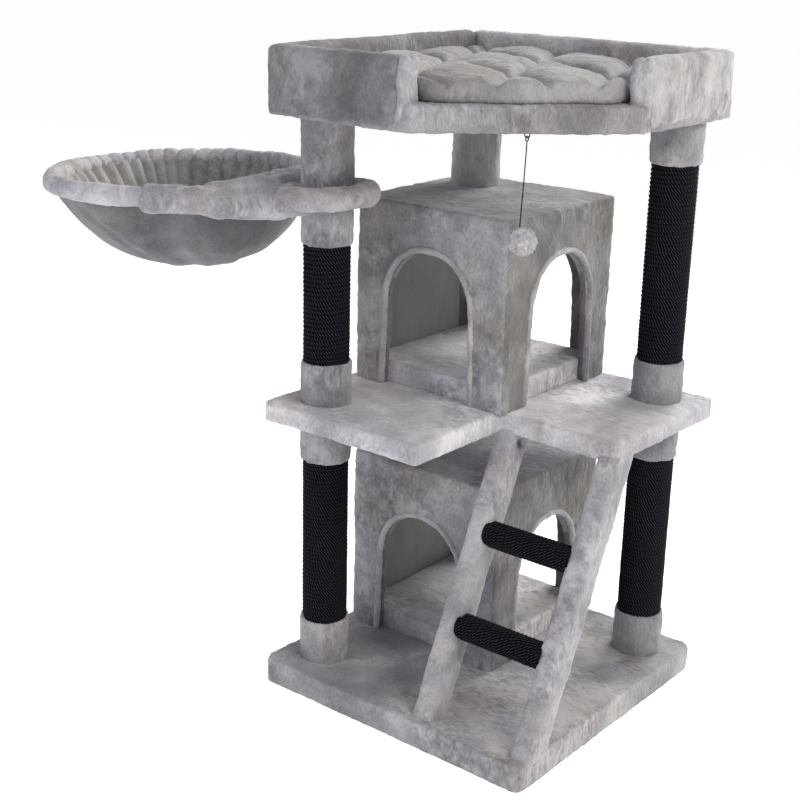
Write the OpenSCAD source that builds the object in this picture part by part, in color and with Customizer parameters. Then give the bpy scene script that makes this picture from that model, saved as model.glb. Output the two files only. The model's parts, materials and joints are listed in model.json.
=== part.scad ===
// Cat tree: a base, an L-shaped shelf and a walled bed on three round posts, with two
// houses, a ladder, a swinging hammock and a hanging pompom.
// Millimetres, +Z up. The origin is the middle of the base's underside.
// -Y is the front of the houses, +X is the side with the ladder's right rail.

/* [Overall] */
// Width of the base along X
tree_w = 600; // [560:1:760]
// Depth of the base along Y
tree_d = 600; // [560:1:760]
// Height of the shelf's top face above the floor
shelf_top = 571; // [560:1:760]
// Clear height from the shelf's top face to the bed's underside
bed_rise = 525; // [480:1:700]

/* [Boards] */
// Thickness of the base with its plush
base_t = 48; // [30:1:80]
// Thickness of the shelf with its plush
shelf_t = 35; // [28:1:60]
// Thickness of the bed's board with its plush
bed_t = 43; // [28:1:60]
// Thickness of the plush on the boards
plush_t = 4; // [2:0.5:8]
// How much wider than the base the shelf is
shelf_extra_w = 2; // [0:1:20]
// How much shallower than the base the shelf is
shelf_less_d = 12; // [0:1:30]
// Width of the notch above the ladder, from the shelf's right edge
notch_w = 245; // [200:1:300]
// Depth of the notch above the ladder, from the shelf's front edge
notch_d = 244; // [200:1:300]

/* [Bed] */
// How much narrower than the base the bed is
bed_less_w = 20; // [0:1:60]
// How much shallower than the base the bed is
bed_less_d = 12; // [0:1:60]
// Length cut from the bed's front edge at its open corner
bed_cut_w = 269; // [200:1:300]
// Length cut from the bed's right edge at its open corner
bed_cut_d = 276; // [200:1:300]
// Height of the padded walls, from the bed's underside
bed_wall_h = 115; // [70:1:160]
// Thickness of the padded walls
bed_wall_t = 36; // [20:1:45]
// How far the padded walls stop short of the cut
bed_wall_back = 20; // [0:1:40]
// Thickness of the cushion
cushion_t = 46; // [25:1:60]
// Gap between the cushion and what is round it
cushion_gap = 3; // [1:0.5:10]

/* [Posts] */
// Outer diameter of the cardboard tubes
tube_d = 72; // [60:1:80]
// Wall of the cardboard tubes
tube_wall = 4.5; // [3:0.5:8]
// Outer diameter over the plush sleeves
sleeve_d = 93; // [88:1:110]
// Thickness of the wound rope
rope_t = 7; // [5:0.5:8]
// Thickness of the plugs in the tubes' ends
plug_t = 15; // [10:1:20]
// Plush left below the rope on each lower post
lower_cuff = 85; // [40:1:120]
// Length of the rope on both lower posts
lower_rope_l = 326; // [200:1:335]
// Plush left below the rope on each upper post
upper_cuff = 77; // [40:1:120]
// Length of the rope on the hammock's upper post
hammock_rope_l = 218; // [150:1:250]
// Length of the rope on the side's upper post
side_rope_l = 365; // [200:1:390]

/* [Houses] */
// Outer width of each house along X
house_w = 350; // [320:1:380]
// Outer depth of each house along Y
house_d = 356; // [330:1:380]
// Height of the lower house
lower_house_h = 372; // [330:1:400]
// Height of the upper house
upper_house_h = 354; // [330:1:400]
// Thickness of the houses' wall boards
house_wall_t = 12; // [9:1:18]
// Thickness of the plush on the houses
house_skin_t = 6; // [3:0.5:10]
// Thickness of the houses' floors
house_floor_t = 42; // [20:1:60]
// Width of the arched doors
arch_w = 206; // [150:1:230]
// Height of the arched doors above the board they stand on
arch_h = 272; // [220:1:300]

/* [Ladder] */
// Width of the rails with their plush
rail_w = 38; // [30:1:50]
// Depth of the rails with their plush, along Y
rail_d = 58; // [45:1:70]
// How far the ladder's foot stands in front of its head
ladder_run = 227; // [150:1:235]
// Diameter of the rope-wound rungs
rung_d = 50; // [44:1:60]
// Height of the lower rung's axis
lower_rung_z = 204; // [160:1:230]
// Height of the upper rung's axis
upper_rung_z = 362; // [300:1:400]

/* [Hammock] */
// Height of the hammock's ring on its post
hammock_z = 952; // [930:1:990]
// Diameter of the hoop's centre line
hoop_d = 500; // [400:1:520]
// Thickness of the padded rim round the hoop
rim_d = 39; // [30:1:46]
// Thickness of the padded ring round the post
ring_t = 44; // [30:1:48]
// Gap between the padded ring and the post's plush
ring_gap = 3.5; // [2:0.5:10]
// Depth of the basket below the hoop
basket_depth = 160; // [100:1:190]
// Droop of the hammock's far side, in degrees
droop = 1.7; // [0:0.1:4]

/* [Toy] */
// Diameter of the pompom
pompom_d = 50; // [40:1:60]
// Diameter of the elastic cord
cord_d = 2; // [1.5:0.1:3]

/* [Hidden] */
$fn = 64;

plush_grey = [0.66, 0.65, 0.68];
dark_plush = [0.50, 0.49, 0.52];
rope_black = [0.09, 0.09, 0.11];
board_brown = [0.72, 0.58, 0.42];
card_brown = [0.76, 0.66, 0.52];
steel_grey = [0.70, 0.71, 0.73];

eps = 1;                    // how far a cut runs past the face it opens
near = 0.01;                // overlap that fuses two bodies of one piece
board_corner_r = 14;

// Outlines of the three boards, as lowest and highest X and Y
base_x = [-tree_w / 2, tree_w / 2];
base_y = [-tree_d / 2, tree_d / 2];
shelf_shift = [-2, -1];
shelf_w = tree_w + shelf_extra_w;
shelf_d = tree_d - shelf_less_d;
shelf_x = [shelf_shift[0] - shelf_w / 2, shelf_shift[0] + shelf_w / 2];
shelf_y = [shelf_shift[1] - shelf_d / 2, shelf_shift[1] + shelf_d / 2];
shelf_under = shelf_top - shelf_t;
notch_x = shelf_x[1] - notch_w;
notch_y = shelf_y[0] + notch_d;
bed_shift = [-3, -2];
bed_w = tree_w - bed_less_w;
bed_d = tree_d - bed_less_d;
bed_x = [bed_shift[0] - bed_w / 2, bed_shift[0] + bed_w / 2];
bed_y = [bed_shift[1] - bed_d / 2, bed_shift[1] + bed_d / 2];
bed_under = shelf_top + bed_rise;
bed_top = bed_under + bed_t;
bed_cut_x = bed_x[1] - bed_cut_w;
bed_cut_y = bed_y[0] + bed_cut_d;
bed_wall_top = bed_under + bed_wall_h;
front_wall_end = bed_cut_x - bed_wall_back;
right_wall_end = bed_cut_y + bed_wall_back;

// Houses: both have the same footprint, in from the shelf's back left corner
house_in = [19, 4];
house_x = [shelf_x[0] + house_in[0], shelf_x[0] + house_in[0] + house_w];
house_y = [shelf_y[1] - house_in[1] - house_d, shelf_y[1] - house_in[1]];
house_mid = [(house_x[0] + house_x[1]) / 2, (house_y[0] + house_y[1]) / 2];
house_corner_r = 14;
arch_spring_share = 0.52;   // of the arch's height, where its legs end
arch_spring = arch_h * arch_spring_share;
arch_steps = 20;
wall_x = [house_x[0] + house_skin_t, house_x[1] - house_skin_t];
wall_y = [house_y[0] + house_skin_t, house_y[1] - house_skin_t];
room_x = [wall_x[0] + house_wall_t, wall_x[1] - house_wall_t];
room_y = [wall_y[0] + house_wall_t, wall_y[1] - house_wall_t];
lower_z = base_t;
upper_z = shelf_top;

// Post axes
hammock_post = [base_x[0] + 76, base_y[0] + 86];
side_post = [base_x[1] - 80, base_y[1] - 78];
rear_post = [house_x[0] + 82, house_y[1] - 93];
lower_post_l = shelf_under - base_t;
rear_lower_z = lower_z + lower_house_h;
rear_upper_z = upper_z + upper_house_h;
tube_r = tube_d / 2;
sleeve_r = sleeve_d / 2;
rope_r = tube_r + rope_t;

// Fasteners
bolt_r = 4;
bolt_hole_r = 4.5;
plug_hole_r = 4.1;
head_r = 8;
head_h = 5;
washer_r = 11;
washer_t = 1.6;
sink_r = 12.5;
sink_h = 8;
screw_r = 2;
screw_hole_r = 2.2;
screw_head_r = 4.5;
screw_head_h = 3;
screw_sink_r = 5;
screw_sink_h = 4;
screw_bite = 22;            // how far a wood screw goes into the second piece
floor_screw_in = 36;

// Ladder
rail_skin = 4;
rail_left_x = notch_x - 4;
rail_right_x = shelf_x[1] + 4 - rail_w;
ladder_head_y = notch_y - 2;
ladder_foot_y = ladder_head_y - ladder_run;
rung_core_r = rung_d / 2 - rope_t;
rung_set_back = 21;         // rung axis behind the rails' front faces
rung_x = [rail_left_x + rail_w, rail_right_x];
rail_clear = 1.5;           // between the left rail and the lower house's corner
pocket = [24, 20, 20];      // pocket for the bolt at each rail's head
pocket_z = shelf_under - 31;
ladder_bolt_r = 3;
ladder_bolt_hole_r = 3.2;
ladder_bolt_bite = 20;
ladder_bolt_head_r = 7;
ladder_bolt_off = 3;        // bolt beside the middle of its rail
rung_screw_r = 2.5;
rung_screw_hole_r = 2.7;

// Hammock, modelled with its post's axis at the origin and level, then drooped
ring_r = sleeve_r + ring_gap + ring_t / 2;
hoop_r = hoop_d / 2;
hoop_gap = 0.5;
hoop_x = -(ring_r + ring_t / 2 + hoop_gap + rim_d / 2 + hoop_r);
wire_r = 4;
basket_wall = 5;
basket_power = 3.2;
basket_steps = 24;

// Toy
toy_at = [140, -135];
eye_r = 5;
eye_wire_r = 1;
eye_drop = 7;               // eye's centre below the bed's underside
eye_pilot_l = 14;
loop_r = 4;
loop_reach = 2.6;           // between the eye's and the loop's touching centre lines
loop_z = bed_under - eye_drop - eye_r + loop_reach - loop_r;
cord_top_z = loop_z - loop_r - cord_d / 2 - 0.3;
pompom_drop = 183;
pompom_z = bed_under - pompom_drop;
cord_sides = 8;
// Cord's route: sideways offsets from the eye, and how far below the cord's top
cord_offsets = [[0, 0, 0], [0, 0, 8], [0, 0, 20], [-0.3, -0.2, 35], [-0.8, -0.6, 50],
    [-1.4, -1.1, 65], [-2.1, -1.6, 80], [-2.8, -2.2, 95], [-3.4, -2.7, 110],
    [-3.9, -3.1, 125], [-4.1, -3.2, 143]];

// ---------- shared shapes ----------

module block(x, y, z) {
    translate([x[0], y[0], z[0]]) cube([x[1] - x[0], y[1] - y[0], z[1] - z[0]]);
}

module round_outline(x, y, r) {
    union() {
        translate([x[0] + r, y[0]]) square([x[1] - x[0] - 2 * r, y[1] - y[0]]);
        translate([x[0], y[0] + r]) square([x[1] - x[0], y[1] - y[0] - 2 * r]);
        for (cx = [x[0] + r, x[1] - r], cy = [y[0] + r, y[1] - r])
            translate([cx, cy]) circle(r);
    }
}

module round_block(x, y, z, r) {
    translate([0, 0, z[0]]) linear_extrude(z[1] - z[0]) round_outline(x, y, r);
}

module post_part(at, z0, l, r_out, r_in) {
    translate([at[0], at[1], z0]) difference() {
        cylinder(h = l, r = r_out);
        translate([0, 0, -eps]) cylinder(h = l + 2 * eps, r = r_in);
    }
}

module hole(at, z0, z1, r) {
    translate([at[0], at[1], z0]) cylinder(h = z1 - z0, r = r);
}

function grown(r, by) = [r[0] - by, r[1] + by];

// ---------- boards ----------

module base_holes() {
    for (p = [hammock_post, side_post]) {
        hole(p, -eps, base_t + eps, bolt_hole_r);
        hole(p, -eps, sink_h, sink_r);
    }
    for (p = concat(floor_screws(), foot_screws())) {
        hole(p, -eps, base_t + eps, screw_hole_r);
        hole(p, -eps, screw_sink_h, screw_sink_r);
    }
}

module base_board() {
    color(board_brown) difference() {
        round_block(grown(base_x, -plush_t), grown(base_y, -plush_t),
            [0, base_t - plush_t], board_corner_r - plush_t);
        base_holes();
    }
}

module base_cover() {
    hem = 2;                // the plush stops this far above the floor
    color(plush_grey) difference() {
        round_block(base_x, base_y, [hem, base_t], board_corner_r);
        round_block(grown(base_x, -plush_t), grown(base_y, -plush_t),
            [0, base_t - plush_t], board_corner_r - plush_t);
        base_holes();
    }
}

module shelf_outline(inset, r) {
    x = grown(shelf_x, -inset);
    y = grown(shelf_y, -inset);
    difference() {
        round_outline(x, y, r);
        translate([notch_x - inset, shelf_y[0] - eps])
            square([notch_w + inset + eps, notch_d + inset + eps]);
    }
}

module shelf_holes() {
    for (p = [hammock_post, side_post, rear_post])
        hole(p, shelf_under - eps, shelf_top + eps, bolt_hole_r);
    hole(rear_post, shelf_top - sink_h, shelf_top + eps, sink_r);
    for (p = floor_screws()) {
        hole(p, shelf_under - eps, shelf_top + eps, screw_hole_r);
        hole(p, shelf_under - eps, shelf_under + screw_sink_h, screw_sink_r);
    }
    for (p = ladder_bolt_places())
        hole(p, shelf_under - eps, shelf_under + ladder_bolt_bite + eps, ladder_bolt_hole_r);
}

module shelf_board() {
    color(board_brown) difference() {
        translate([0, 0, shelf_under]) linear_extrude(shelf_t - plush_t)
            shelf_outline(plush_t, board_corner_r - plush_t);
        shelf_holes();
    }
}

module shelf_cover() {
    color(plush_grey) difference() {
        translate([0, 0, shelf_under]) linear_extrude(shelf_t)
            shelf_outline(0, board_corner_r);
        translate([0, 0, shelf_under - eps]) linear_extrude(shelf_t - plush_t + eps)
            shelf_outline(plush_t, board_corner_r - plush_t);
        shelf_holes();
    }
}

// ---------- bed ----------

// Outline of the bed's board, in by "inset" all round and clear of the padded walls
module bed_outline(inset) {
    t = bed_wall_t;
    ox = grown(bed_x, -inset);
    oy = grown(bed_y, -inset);
    slant = inset * (sqrt(2) - 1);
    polygon([[bed_x[0] + t, bed_y[0] + t], [front_wall_end, bed_y[0] + t],
        [front_wall_end, oy[0]], [bed_cut_x - slant, oy[0]], [ox[1], bed_cut_y + slant],
        [ox[1], right_wall_end], [bed_x[1] - t, right_wall_end],
        [bed_x[1] - t, bed_y[1] - t], [bed_x[0] + t, bed_y[1] - t]]);
}

module bed_holes() {
    for (p = [hammock_post, side_post, rear_post]) {
        hole(p, bed_under - eps, bed_top + eps, bolt_hole_r);
        hole(p, bed_top - sink_h, bed_top + eps, sink_r);
    }
    hole(toy_at, bed_under - eps, bed_under + eye_pilot_l, eye_wire_r + 0.1);
}

module bed_board() {
    color(board_brown) difference() {
        translate([0, 0, bed_under]) linear_extrude(bed_t - plush_t) bed_outline(plush_t);
        bed_holes();
    }
}

module bed_cover() {
    color(plush_grey) difference() {
        translate([0, 0, bed_under]) linear_extrude(bed_t) bed_outline(0);
        translate([0, 0, bed_under - eps]) linear_extrude(bed_t - plush_t + eps)
            bed_outline(plush_t);
        bed_holes();
    }
}

module bed_wall(x, y) {
    color(plush_grey) round_block(x, y, [bed_under, bed_wall_top], min(8, bed_wall_t / 4));
}

module bed_left_wall() {
    bed_wall([bed_x[0], bed_x[0] + bed_wall_t], bed_y);
}

module bed_back_wall() {
    bed_wall([bed_x[0] + bed_wall_t, bed_x[1] - bed_wall_t],
        [bed_y[1] - bed_wall_t, bed_y[1]]);
}

module bed_right_wall() {
    bed_wall([bed_x[1] - bed_wall_t, bed_x[1]], [right_wall_end, bed_y[1]]);
}

module bed_front_wall() {
    bed_wall([bed_x[0] + bed_wall_t, front_wall_end],
        [bed_y[0], bed_y[0] + bed_wall_t]);
}

module bed_cushion() {
    g = cushion_gap;
    t = bed_wall_t;
    back = 2 * g;           // how far the cushion stops behind the open edge
    lift = 0.4;
    color(plush_grey) translate([0, 0, bed_top + lift]) linear_extrude(cushion_t)
        polygon([[bed_x[0] + t + g, bed_y[0] + t + g],
            [bed_cut_x + t - back, bed_y[0] + t + g],
            [bed_x[1] - t - g, bed_cut_y - t + back],
            [bed_x[1] - t - g, bed_y[1] - t - g],
            [bed_x[0] + t + g, bed_y[1] - t - g]]);
}

// ---------- houses ----------

function arch_points() = concat([[-arch_w / 2, -eps]],
    [for (i = [0 : arch_steps]) let (a = 180 - 180 * i / arch_steps)
        [arch_w / 2 * cos(a), arch_spring + (arch_h - arch_spring) * sin(a)]],
    [[arch_w / 2, -eps]]);

module arch_along_y(z0, y) {
    translate([house_mid[0], y[1], z0]) rotate([90, 0, 0])
        linear_extrude(y[1] - y[0]) polygon(arch_points());
}

module arch_along_x(z0, x) {
    translate([x[0], house_mid[1], z0]) rotate([90, 0, 90])
        linear_extrude(x[1] - x[0]) polygon(arch_points());
}

function floor_screws() = [for (x = [room_x[0] + floor_screw_in, room_x[1] - floor_screw_in],
    y = [room_y[0] + floor_screw_in, room_y[1] - floor_screw_in]) [x, y]];

module house_floor(z0) {
    color(plush_grey) difference() {
        block(room_x, room_y, [z0, z0 + house_floor_t]);
        for (p = floor_screws())
            hole(p, z0 - eps, z0 + screw_bite + near, screw_r + 0.05);
    }
}

module house_front_wall(z0, h) {
    color(board_brown) difference() {
        block(wall_x, [wall_y[0], room_y[0]], [z0, z0 + h - house_skin_t - house_wall_t]);
        arch_along_y(z0, [wall_y[0] - eps, room_y[0] + eps]);
    }
}

module house_back_wall(z0, h) {
    color(board_brown) difference() {
        block(wall_x, [room_y[1], wall_y[1]], [z0, z0 + h - house_skin_t - house_wall_t]);
        arch_along_y(z0, [room_y[1] - eps, wall_y[1] + eps]);
    }
}

module house_side_wall(z0, h) {
    color(board_brown) difference() {
        block([room_x[1], wall_x[1]], room_y, [z0, z0 + h - house_skin_t - house_wall_t]);
        arch_along_x(z0, [room_x[1] - eps, wall_x[1] + eps]);
    }
}

module house_left_wall(z0, h) {
    color(board_brown)
        block([wall_x[0], room_x[0]], room_y, [z0, z0 + h - house_skin_t - house_wall_t]);
}

module house_roof(z0, h) {
    top = z0 + h - house_skin_t;
    color(board_brown) difference() {
        block(wall_x, wall_y, [top - house_wall_t, top]);
        hole(rear_post, top - house_wall_t - eps, top + eps, bolt_hole_r);
    }
}

module house_cover(z0, h) {
    color(plush_grey) difference() {
        round_block(house_x, house_y, [z0, z0 + h], house_corner_r);
        block(wall_x, wall_y, [z0 - eps, z0 + h - house_skin_t]);
        arch_along_y(z0, grown(house_y, eps));
        arch_along_x(z0, [house_mid[0], house_x[1] + eps]);
        hole(rear_post, z0 + h - 2 * house_skin_t, z0 + h + eps, bolt_hole_r);
    }
}

module lower_house_floor() house_floor(lower_z);
module lower_house_front_wall() house_front_wall(lower_z, lower_house_h);
module lower_house_side_wall() house_side_wall(lower_z, lower_house_h);
module lower_house_back_wall() house_back_wall(lower_z, lower_house_h);
module lower_house_left_wall() house_left_wall(lower_z, lower_house_h);
module lower_house_roof() house_roof(lower_z, lower_house_h);
module lower_house_cover() house_cover(lower_z, lower_house_h);
module upper_house_floor() house_floor(upper_z);
module upper_house_front_wall() house_front_wall(upper_z, upper_house_h);
module upper_house_side_wall() house_side_wall(upper_z, upper_house_h);
module upper_house_back_wall() house_back_wall(upper_z, upper_house_h);
module upper_house_left_wall() house_left_wall(upper_z, upper_house_h);
module upper_house_roof() house_roof(upper_z, upper_house_h);
module upper_house_cover() house_cover(upper_z, upper_house_h);

// ---------- posts ----------

module tube(at, z0, z1) {
    color(card_brown) post_part(at, z0, z1 - z0, tube_r, tube_r - tube_wall);
}

module wound_rope(at, z0, l) {
    color(rope_black) post_part(at, z0, l, rope_r, tube_r);
}

module sleeve(at, z0, z1) {
    color(plush_grey) post_part(at, z0, z1 - z0, sleeve_r, tube_r);
}

module hammock_post_lower_tube() tube(hammock_post, base_t, shelf_under);
module hammock_post_upper_tube() tube(hammock_post, shelf_top, bed_under);
module side_post_lower_tube() tube(side_post, base_t, shelf_under);
module side_post_upper_tube() tube(side_post, shelf_top, bed_under);
module rear_post_lower_tube() tube(rear_post, rear_lower_z, shelf_under);
module rear_post_upper_tube() tube(rear_post, rear_upper_z, bed_under);

module hammock_post_lower_rope() wound_rope(hammock_post, base_t + lower_cuff, lower_rope_l);
module hammock_post_upper_rope() wound_rope(hammock_post, shelf_top + upper_cuff, hammock_rope_l);
module side_post_lower_rope() wound_rope(side_post, base_t + lower_cuff, lower_rope_l);
module side_post_upper_rope() wound_rope(side_post, shelf_top + upper_cuff, side_rope_l);

module roped_post_sleeves(at, upper_rope_l) {
    sleeve(at, base_t, base_t + lower_cuff);
    sleeve(at, base_t + lower_cuff + lower_rope_l, shelf_under);
    sleeve(at, shelf_top, shelf_top + upper_cuff);
    sleeve(at, shelf_top + upper_cuff + upper_rope_l, bed_under);
}

module hammock_post_sleeves() roped_post_sleeves(hammock_post, hammock_rope_l);
module side_post_sleeves() roped_post_sleeves(side_post, side_rope_l);

module rear_post_sleeves() {
    sleeve(rear_post, rear_lower_z, shelf_under);
    sleeve(rear_post, rear_upper_z, bed_under);
}

// Each tube as its post's axis, its foot and its head
function tube_ends() = [[hammock_post, base_t, shelf_under], [hammock_post, shelf_top, bed_under],
    [side_post, base_t, shelf_under], [side_post, shelf_top, bed_under],
    [rear_post, rear_lower_z, shelf_under], [rear_post, rear_upper_z, bed_under]];

module tube_plugs() {
    color(board_brown) for (t = tube_ends(), z = [t[1], t[2] - plug_t])
        post_part(t[0], z, plug_t, tube_r - tube_wall, plug_hole_r);
}

module joining_studs() {
    color(steel_grey) for (p = [hammock_post, side_post])
        hole(p, shelf_under - plug_t, shelf_top + plug_t, bolt_r);
}

// Bolts as the post's axis, the face the washer lies on, the shank's end and which way
// the bolt points: 1 up, -1 down
function bolt_places() = [
    [hammock_post, sink_h, base_t + plug_t, 1], [side_post, sink_h, base_t + plug_t, 1],
    [rear_post, rear_lower_z - house_skin_t - house_wall_t, rear_lower_z + plug_t, 1],
    [rear_post, rear_upper_z - house_skin_t - house_wall_t, rear_upper_z + plug_t, 1],
    [rear_post, shelf_top - sink_h, shelf_under - plug_t, -1],
    [hammock_post, bed_top - sink_h, bed_under - plug_t, -1],
    [side_post, bed_top - sink_h, bed_under - plug_t, -1],
    [rear_post, bed_top - sink_h, bed_under - plug_t, -1]];

module post_bolts() {
    color(steel_grey) for (b = bolt_places()) {
        way = b[3];
        seat = b[1] - way * washer_t;       // underside of the head
        head = seat - way * head_h;         // far face of the head
        union() {
            hole(b[0], min(seat, head), max(seat, head), head_r);
            hole(b[0], min(head, b[2]), max(head, b[2]), bolt_r);
        }
    }
}

module bolt_washers() {
    color(steel_grey) for (b = bolt_places())
        post_part(b[0], min(b[1], b[1] - b[3] * washer_t), washer_t, washer_r, bolt_hole_r);
}

module wood_screw_up(p, z0, z1) {
    hole(p, z0, z0 + screw_head_h, screw_head_r);
    hole(p, z0, z1, screw_r);
}

module board_screws() {
    color(steel_grey) {
        for (p = concat(floor_screws(), foot_screws()))
            wood_screw_up(p, screw_sink_h - screw_head_h, base_t + screw_bite);
        for (p = floor_screws())
            wood_screw_up(p, shelf_under + screw_sink_h - screw_head_h,
                shelf_top + screw_bite);
    }
}

// ---------- ladder ----------

function rail_y(z) = ladder_foot_y + ladder_run * (z - base_t) / (shelf_under - base_t);
function foot_screws() = [for (x = [rail_left_x, rail_right_x])
    [x + rail_w / 2, ladder_foot_y + rail_d * 0.55]];
function ladder_bolt_places() = [for (x = [rail_left_x, rail_right_x])
    [x + rail_w / 2 + ladder_bolt_off, rail_y(pocket_z + pocket[2] / 2) + rail_d / 2]];
function rung_at(z) = [rail_y(z) + rung_set_back, z];

// A slanted bar between the base and the shelf, in by "inset" on its four sides
module rail_bar(x0, inset, over) {
    slope = ladder_run / (shelf_under - base_t);
    translate([x0 + rail_w - inset, 0, 0]) rotate([0, -90, 0])
        linear_extrude(rail_w - 2 * inset)
        polygon([[base_t - over, ladder_foot_y + inset - slope * over],
            [shelf_under + over, ladder_head_y + inset + slope * over],
            [shelf_under + over, ladder_head_y + rail_d - inset + slope * over],
            [base_t - over, ladder_foot_y + rail_d - inset - slope * over]]);
}

// Room for the lower house's front right corner at the back of the left rail
module rail_relief() {
    block([house_x[0], house_x[1] + rail_clear], [house_y[0] - rail_clear, house_y[1]],
        [base_t, lower_z + lower_house_h + rail_clear]);
}

module rail_pocket(x0, i) {
    p = ladder_bolt_places()[i];
    translate([x0 + rail_w - pocket[0], p[1] - pocket[1] / 2, pocket_z])
        cube([pocket[0] + eps, pocket[1], pocket[2]]);
}

// Screw holes for both rungs, running the whole width of a rail
module rung_screw_holes(x0, r) {
    for (z = [lower_rung_z, upper_rung_z])
        translate([x0 - eps, rung_at(z)[0], z]) rotate([0, 90, 0])
            cylinder(h = rail_w + 2 * eps, r = r);
}

module rail_core(x0, i) {
    color(board_brown) difference() {
        rail_bar(x0, rail_skin, 0);
        rail_relief();
        rail_pocket(x0, i);
        rung_screw_holes(x0, rung_screw_hole_r);
        hole(ladder_bolt_places()[i], pocket_z, shelf_under + eps, ladder_bolt_hole_r);
        hole(foot_screws()[i], base_t - eps, base_t + screw_bite + near, screw_r + 0.05);
    }
}

module rail_cover(x0, i) {
    color(plush_grey) difference() {
        rail_bar(x0, 0, 0);
        rail_bar(x0, rail_skin, 1);
        rail_relief();
        rail_pocket(x0, i);
        rung_screw_holes(x0, screw_sink_r);
    }
}

module ladder_left_rail() rail_core(rail_left_x, 0);
module ladder_right_rail() rail_core(rail_right_x, 1);
module ladder_left_cover() rail_cover(rail_left_x, 0);
module ladder_right_cover() rail_cover(rail_right_x, 1);

module along_x(x, at, r) {
    translate([x[0], at[0], at[1]]) rotate([0, 90, 0]) cylinder(h = x[1] - x[0], r = r);
}

module ladder_rung_cores() {
    bite = screw_bite + near;
    color(board_brown) for (z = [lower_rung_z, upper_rung_z]) difference() {
        along_x(rung_x, rung_at(z), rung_core_r);
        along_x([rung_x[0] - eps, rung_x[0] + bite], rung_at(z), rung_screw_r + 0.05);
        along_x([rung_x[1] - bite, rung_x[1] + eps], rung_at(z), rung_screw_r + 0.05);
    }
}

module rung_rope(z) {
    color(rope_black) difference() {
        along_x(rung_x, rung_at(z), rung_d / 2);
        along_x(grown(rung_x, eps), rung_at(z), rung_core_r);
    }
}

module upper_rung_rope() rung_rope(upper_rung_z);
module lower_rung_rope() rung_rope(lower_rung_z);

module rung_screws() {
    left_x = rail_left_x + rail_skin;               // outer face of the left core
    right_x = rail_right_x + rail_w - rail_skin;    // outer face of the right core
    color(steel_grey) for (z = [lower_rung_z, upper_rung_z]) {
        along_x([left_x - screw_head_h, left_x], rung_at(z), screw_head_r);
        along_x([left_x - near, rung_x[0] + screw_bite], rung_at(z), rung_screw_r);
        along_x([right_x, right_x + screw_head_h], rung_at(z), screw_head_r);
        along_x([rung_x[1] - screw_bite, right_x + near], rung_at(z), rung_screw_r);
    }
}

module ladder_bolts() {
    seat = pocket_z + pocket[2];
    color(steel_grey) for (p = ladder_bolt_places()) {
        hole(p, seat - head_h, seat, ladder_bolt_head_r);
        hole(p, seat - near, shelf_under + ladder_bolt_bite, ladder_bolt_r);
    }
}

// ---------- hammock ----------

module hang_hammock() {
    translate([hammock_post[0], hammock_post[1], hammock_z]) rotate([0, -droop, 0])
        children();
}

module ring(x, r, tube) {
    translate([x, 0, 0]) rotate_extrude() translate([r, 0]) circle(tube);
}

// Two wire rings joined by two short bars
module hammock_frame() {
    bar_y = 18;
    color(steel_grey) hang_hammock() union() {
        ring(0, ring_r, wire_r);
        ring(hoop_x, hoop_r, wire_r);
        for (y = [-bar_y, bar_y]) {
            x0 = -sqrt(ring_r * ring_r - y * y);
            x1 = hoop_x + sqrt(hoop_r * hoop_r - y * y);
            translate([x1, y, 0]) rotate([0, 90, 0]) cylinder(h = x0 - x1, r = wire_r * 0.9);
        }
    }
}

module hammock_rim() {
    color(plush_grey) hang_hammock() ring(hoop_x, hoop_r, rim_d / 2);
}

module hammock_ring() {
    color(plush_grey) hang_hammock() ring(0, ring_r, ring_t / 2);
}

function basket_z(r) = -basket_depth * (1 - pow(r / hoop_r, basket_power));

module hammock_basket() {
    outer = [for (i = [0 : basket_steps]) let (r = (hoop_r - 4) * i / basket_steps)
        [r, basket_z(r)]];
    inner = [for (i = [basket_steps : -1 : 0])
        let (r = (hoop_r - 4 - basket_wall) * i / basket_steps)
        [r, basket_z(r) + basket_wall]];
    color(dark_plush) hang_hammock() difference() {
        translate([hoop_x, 0, 0]) rotate_extrude() polygon(concat(outer, inner));
        ring(hoop_x, hoop_r, rim_d / 2);
        ring(0, ring_r, ring_t / 2 + hoop_gap);
    }
}

// ---------- toy ----------

module toy_eye() {
    color(steel_grey) translate([toy_at[0], toy_at[1], bed_under]) union() {
        translate([0, 0, -eye_drop]) rotate([90, 0, 0]) ring(0, eye_r, eye_wire_r);
        translate([0, 0, eye_r - eye_drop]) cylinder(h = eye_pilot_l - 1 + eye_drop - eye_r,
            r = eye_wire_r);
    }
}

module toy_loop() {
    color(rope_black) translate([toy_at[0], toy_at[1], loop_z]) rotate([90, 0, 90])
        ring(0, loop_r, cord_d / 2);
}

function cord_point(i) = [toy_at[0] + cord_offsets[i][0], toy_at[1] + cord_offsets[i][1],
    cord_top_z - cord_offsets[i][2]];

// A vertical-ish tube: level rings of points joined by side faces and two end caps
module toy_cord() {
    n = len(cord_offsets);
    s = cord_sides;
    rings = [for (i = [0 : n - 1], k = [0 : s - 1]) let (a = 360 * k / s)
        cord_point(i) + cord_d / 2 * [cos(a), sin(a), 0]];
    sides = [for (i = [0 : n - 2], k = [0 : s - 1]) let (m = (k + 1) % s)
        [i * s + k, i * s + m, (i + 1) * s + m, (i + 1) * s + k]];
    color(rope_black) polyhedron(points = rings, faces = concat(sides,
        [[for (k = [s - 1 : -1 : 0]) k]], [[for (k = [0 : s - 1]) (n - 1) * s + k]]));
}

module toy_pompom() {
    color(plush_grey) translate([toy_at[0], toy_at[1], pompom_z]) sphere(d = pompom_d);
}

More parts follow.
